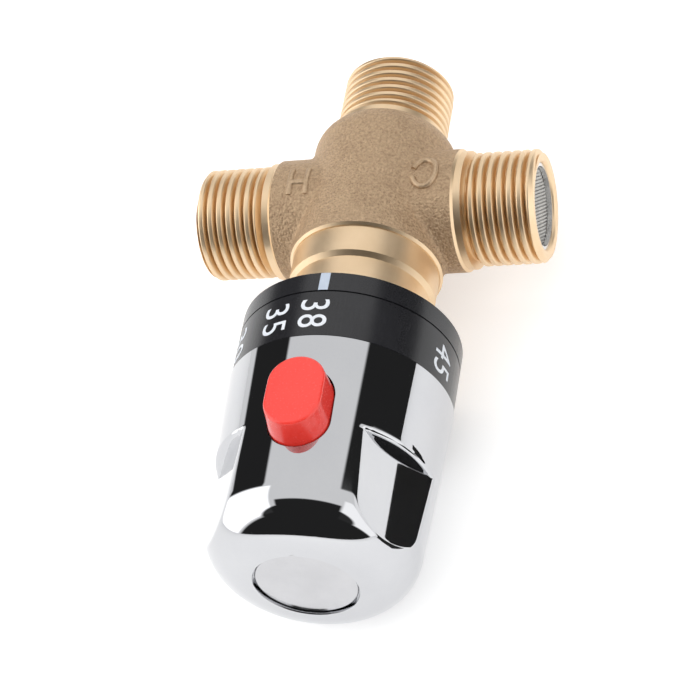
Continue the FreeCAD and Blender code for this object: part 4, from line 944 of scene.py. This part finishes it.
def bandMask(value, ends):
    low, high = (edgeValue(value, end, surroundings["soft"]) for end in ends)
    return mathNode(sky, "SUBTRACT", low, high)


def cardMask(card):
    across = bandMask(aroundAxis, card["around"])
    return mathNode(sky, "MULTIPLY", across, bandMask(alongAxis, card["along"]))


def hoodOffset(value, number):
    return mathNode(sky, "DIVIDE", mathNode(sky, "SUBTRACT", value, darkHood["middle"][number]),
                    darkHood["size"][number])


boxGlow = 0.0
for card in softBoxes:
    boxGlow = mathNode(sky, "MULTIPLY_ADD", cardMask(card), card["glow"], boxGlow)
hoodAcross = hoodOffset(aroundAxis, 0)
hoodUp = hoodOffset(alongAxis, 1)
hoodReach = mathNode(sky, "SQRT", mathNode(sky, "MULTIPLY_ADD", hoodAcross, hoodAcross,
                                           mathNode(sky, "MULTIPLY", hoodUp, hoodUp)))
covered = mathNode(sky, "SUBTRACT", 1.0, edgeValue(hoodReach, 1.0, darkHood["soft"]))
for card in darkCards:
    covered = mathNode(sky, "MAXIMUM", covered, cardMask(card))
leftOver = mathNode(sky, "MULTIPLY_ADD", covered, surroundings["dark"] - 1, 1.0)
lit = mathNode(sky, "MULTIPLY", mathNode(sky, "ADD", boxGlow, surroundings["room"]), leftOver)

# The room is white to every ray, and only the camera doesn't see the boxes and cards in it
seen = sky.nodes.new("ShaderNodeLightPath")
strength = sky.nodes.new("ShaderNodeMix")
strength.data_type = "FLOAT"
sky.links.new(seen.outputs["Is Camera Ray"], strength.inputs["Factor"])
sky.links.new(lit, strength.inputs["A"])
strength.inputs["B"].default_value = surroundings["room"]
background = sky.nodes.new("ShaderNodeBackground")
background.inputs["Color"].default_value = (1, 1, 1, 1)
sky.links.new(strength.outputs["Result"], background.inputs["Strength"])
sky.links.new(background.outputs[0], sky.nodes.new("ShaderNodeOutputWorld").inputs["Surface"])
print("surroundings made")


# A soft lamp from above and the camera

lampSizes = {"place": (0.05, -0.5, 0.65), "target": (0, -0.05, 0), "size": 0.5, "power": 2.2}
lampData = bpy.data.lights.new("topLamp", "AREA")
lampData.energy = lampSizes["power"]
lampData.size = lampSizes["size"]
lamp = bpy.data.objects.new("topLamp", lampData)
bpy.context.scene.collection.objects.link(lamp)
lamp.location = lampSizes["place"]
lampAim = Vector(lampSizes["target"]) - Vector(lampSizes["place"])
lamp.rotation_euler = lampAim.to_track_quat("-Z", "Y").to_euler()
lamp.visible_glossy = False

cameraPlace = {"azimuth": 28.06, "elevation": 48.55, "roll": -24.34, "distance": 450.0, "lens": 132.46,
               "sensor": 36.0, "target": (-2.5, -53.72, 0.0)}
azimuth, elevation, roll = (math.radians(cameraPlace[key]) for key in ("azimuth", "elevation", "roll"))
back = Vector((math.sin(azimuth) * math.cos(elevation), -math.cos(azimuth) * math.cos(elevation),
               math.sin(elevation)))
level = Vector((0, 0, 1)).cross(back).normalized()
upright = back.cross(level)
right = math.cos(roll) * level + math.sin(roll) * upright
top = -math.sin(roll) * level + math.cos(roll) * upright
cameraPoint = Vector(cameraPlace["target"]) * mm + back * cameraPlace["distance"] * mm
camera = bpy.data.objects.new("camera", bpy.data.cameras.new("camera"))
bpy.context.scene.collection.objects.link(camera)
camera.matrix_world = Matrix.Translation(cameraPoint) @ Matrix((right, top, back)).transposed().to_4x4()
camera.data.lens = cameraPlace["lens"]
camera.data.sensor_width = cameraPlace["sensor"]
bpy.context.scene.camera = camera
bpy.context.scene.view_settings.view_transform = "Standard"
print("camera placed")
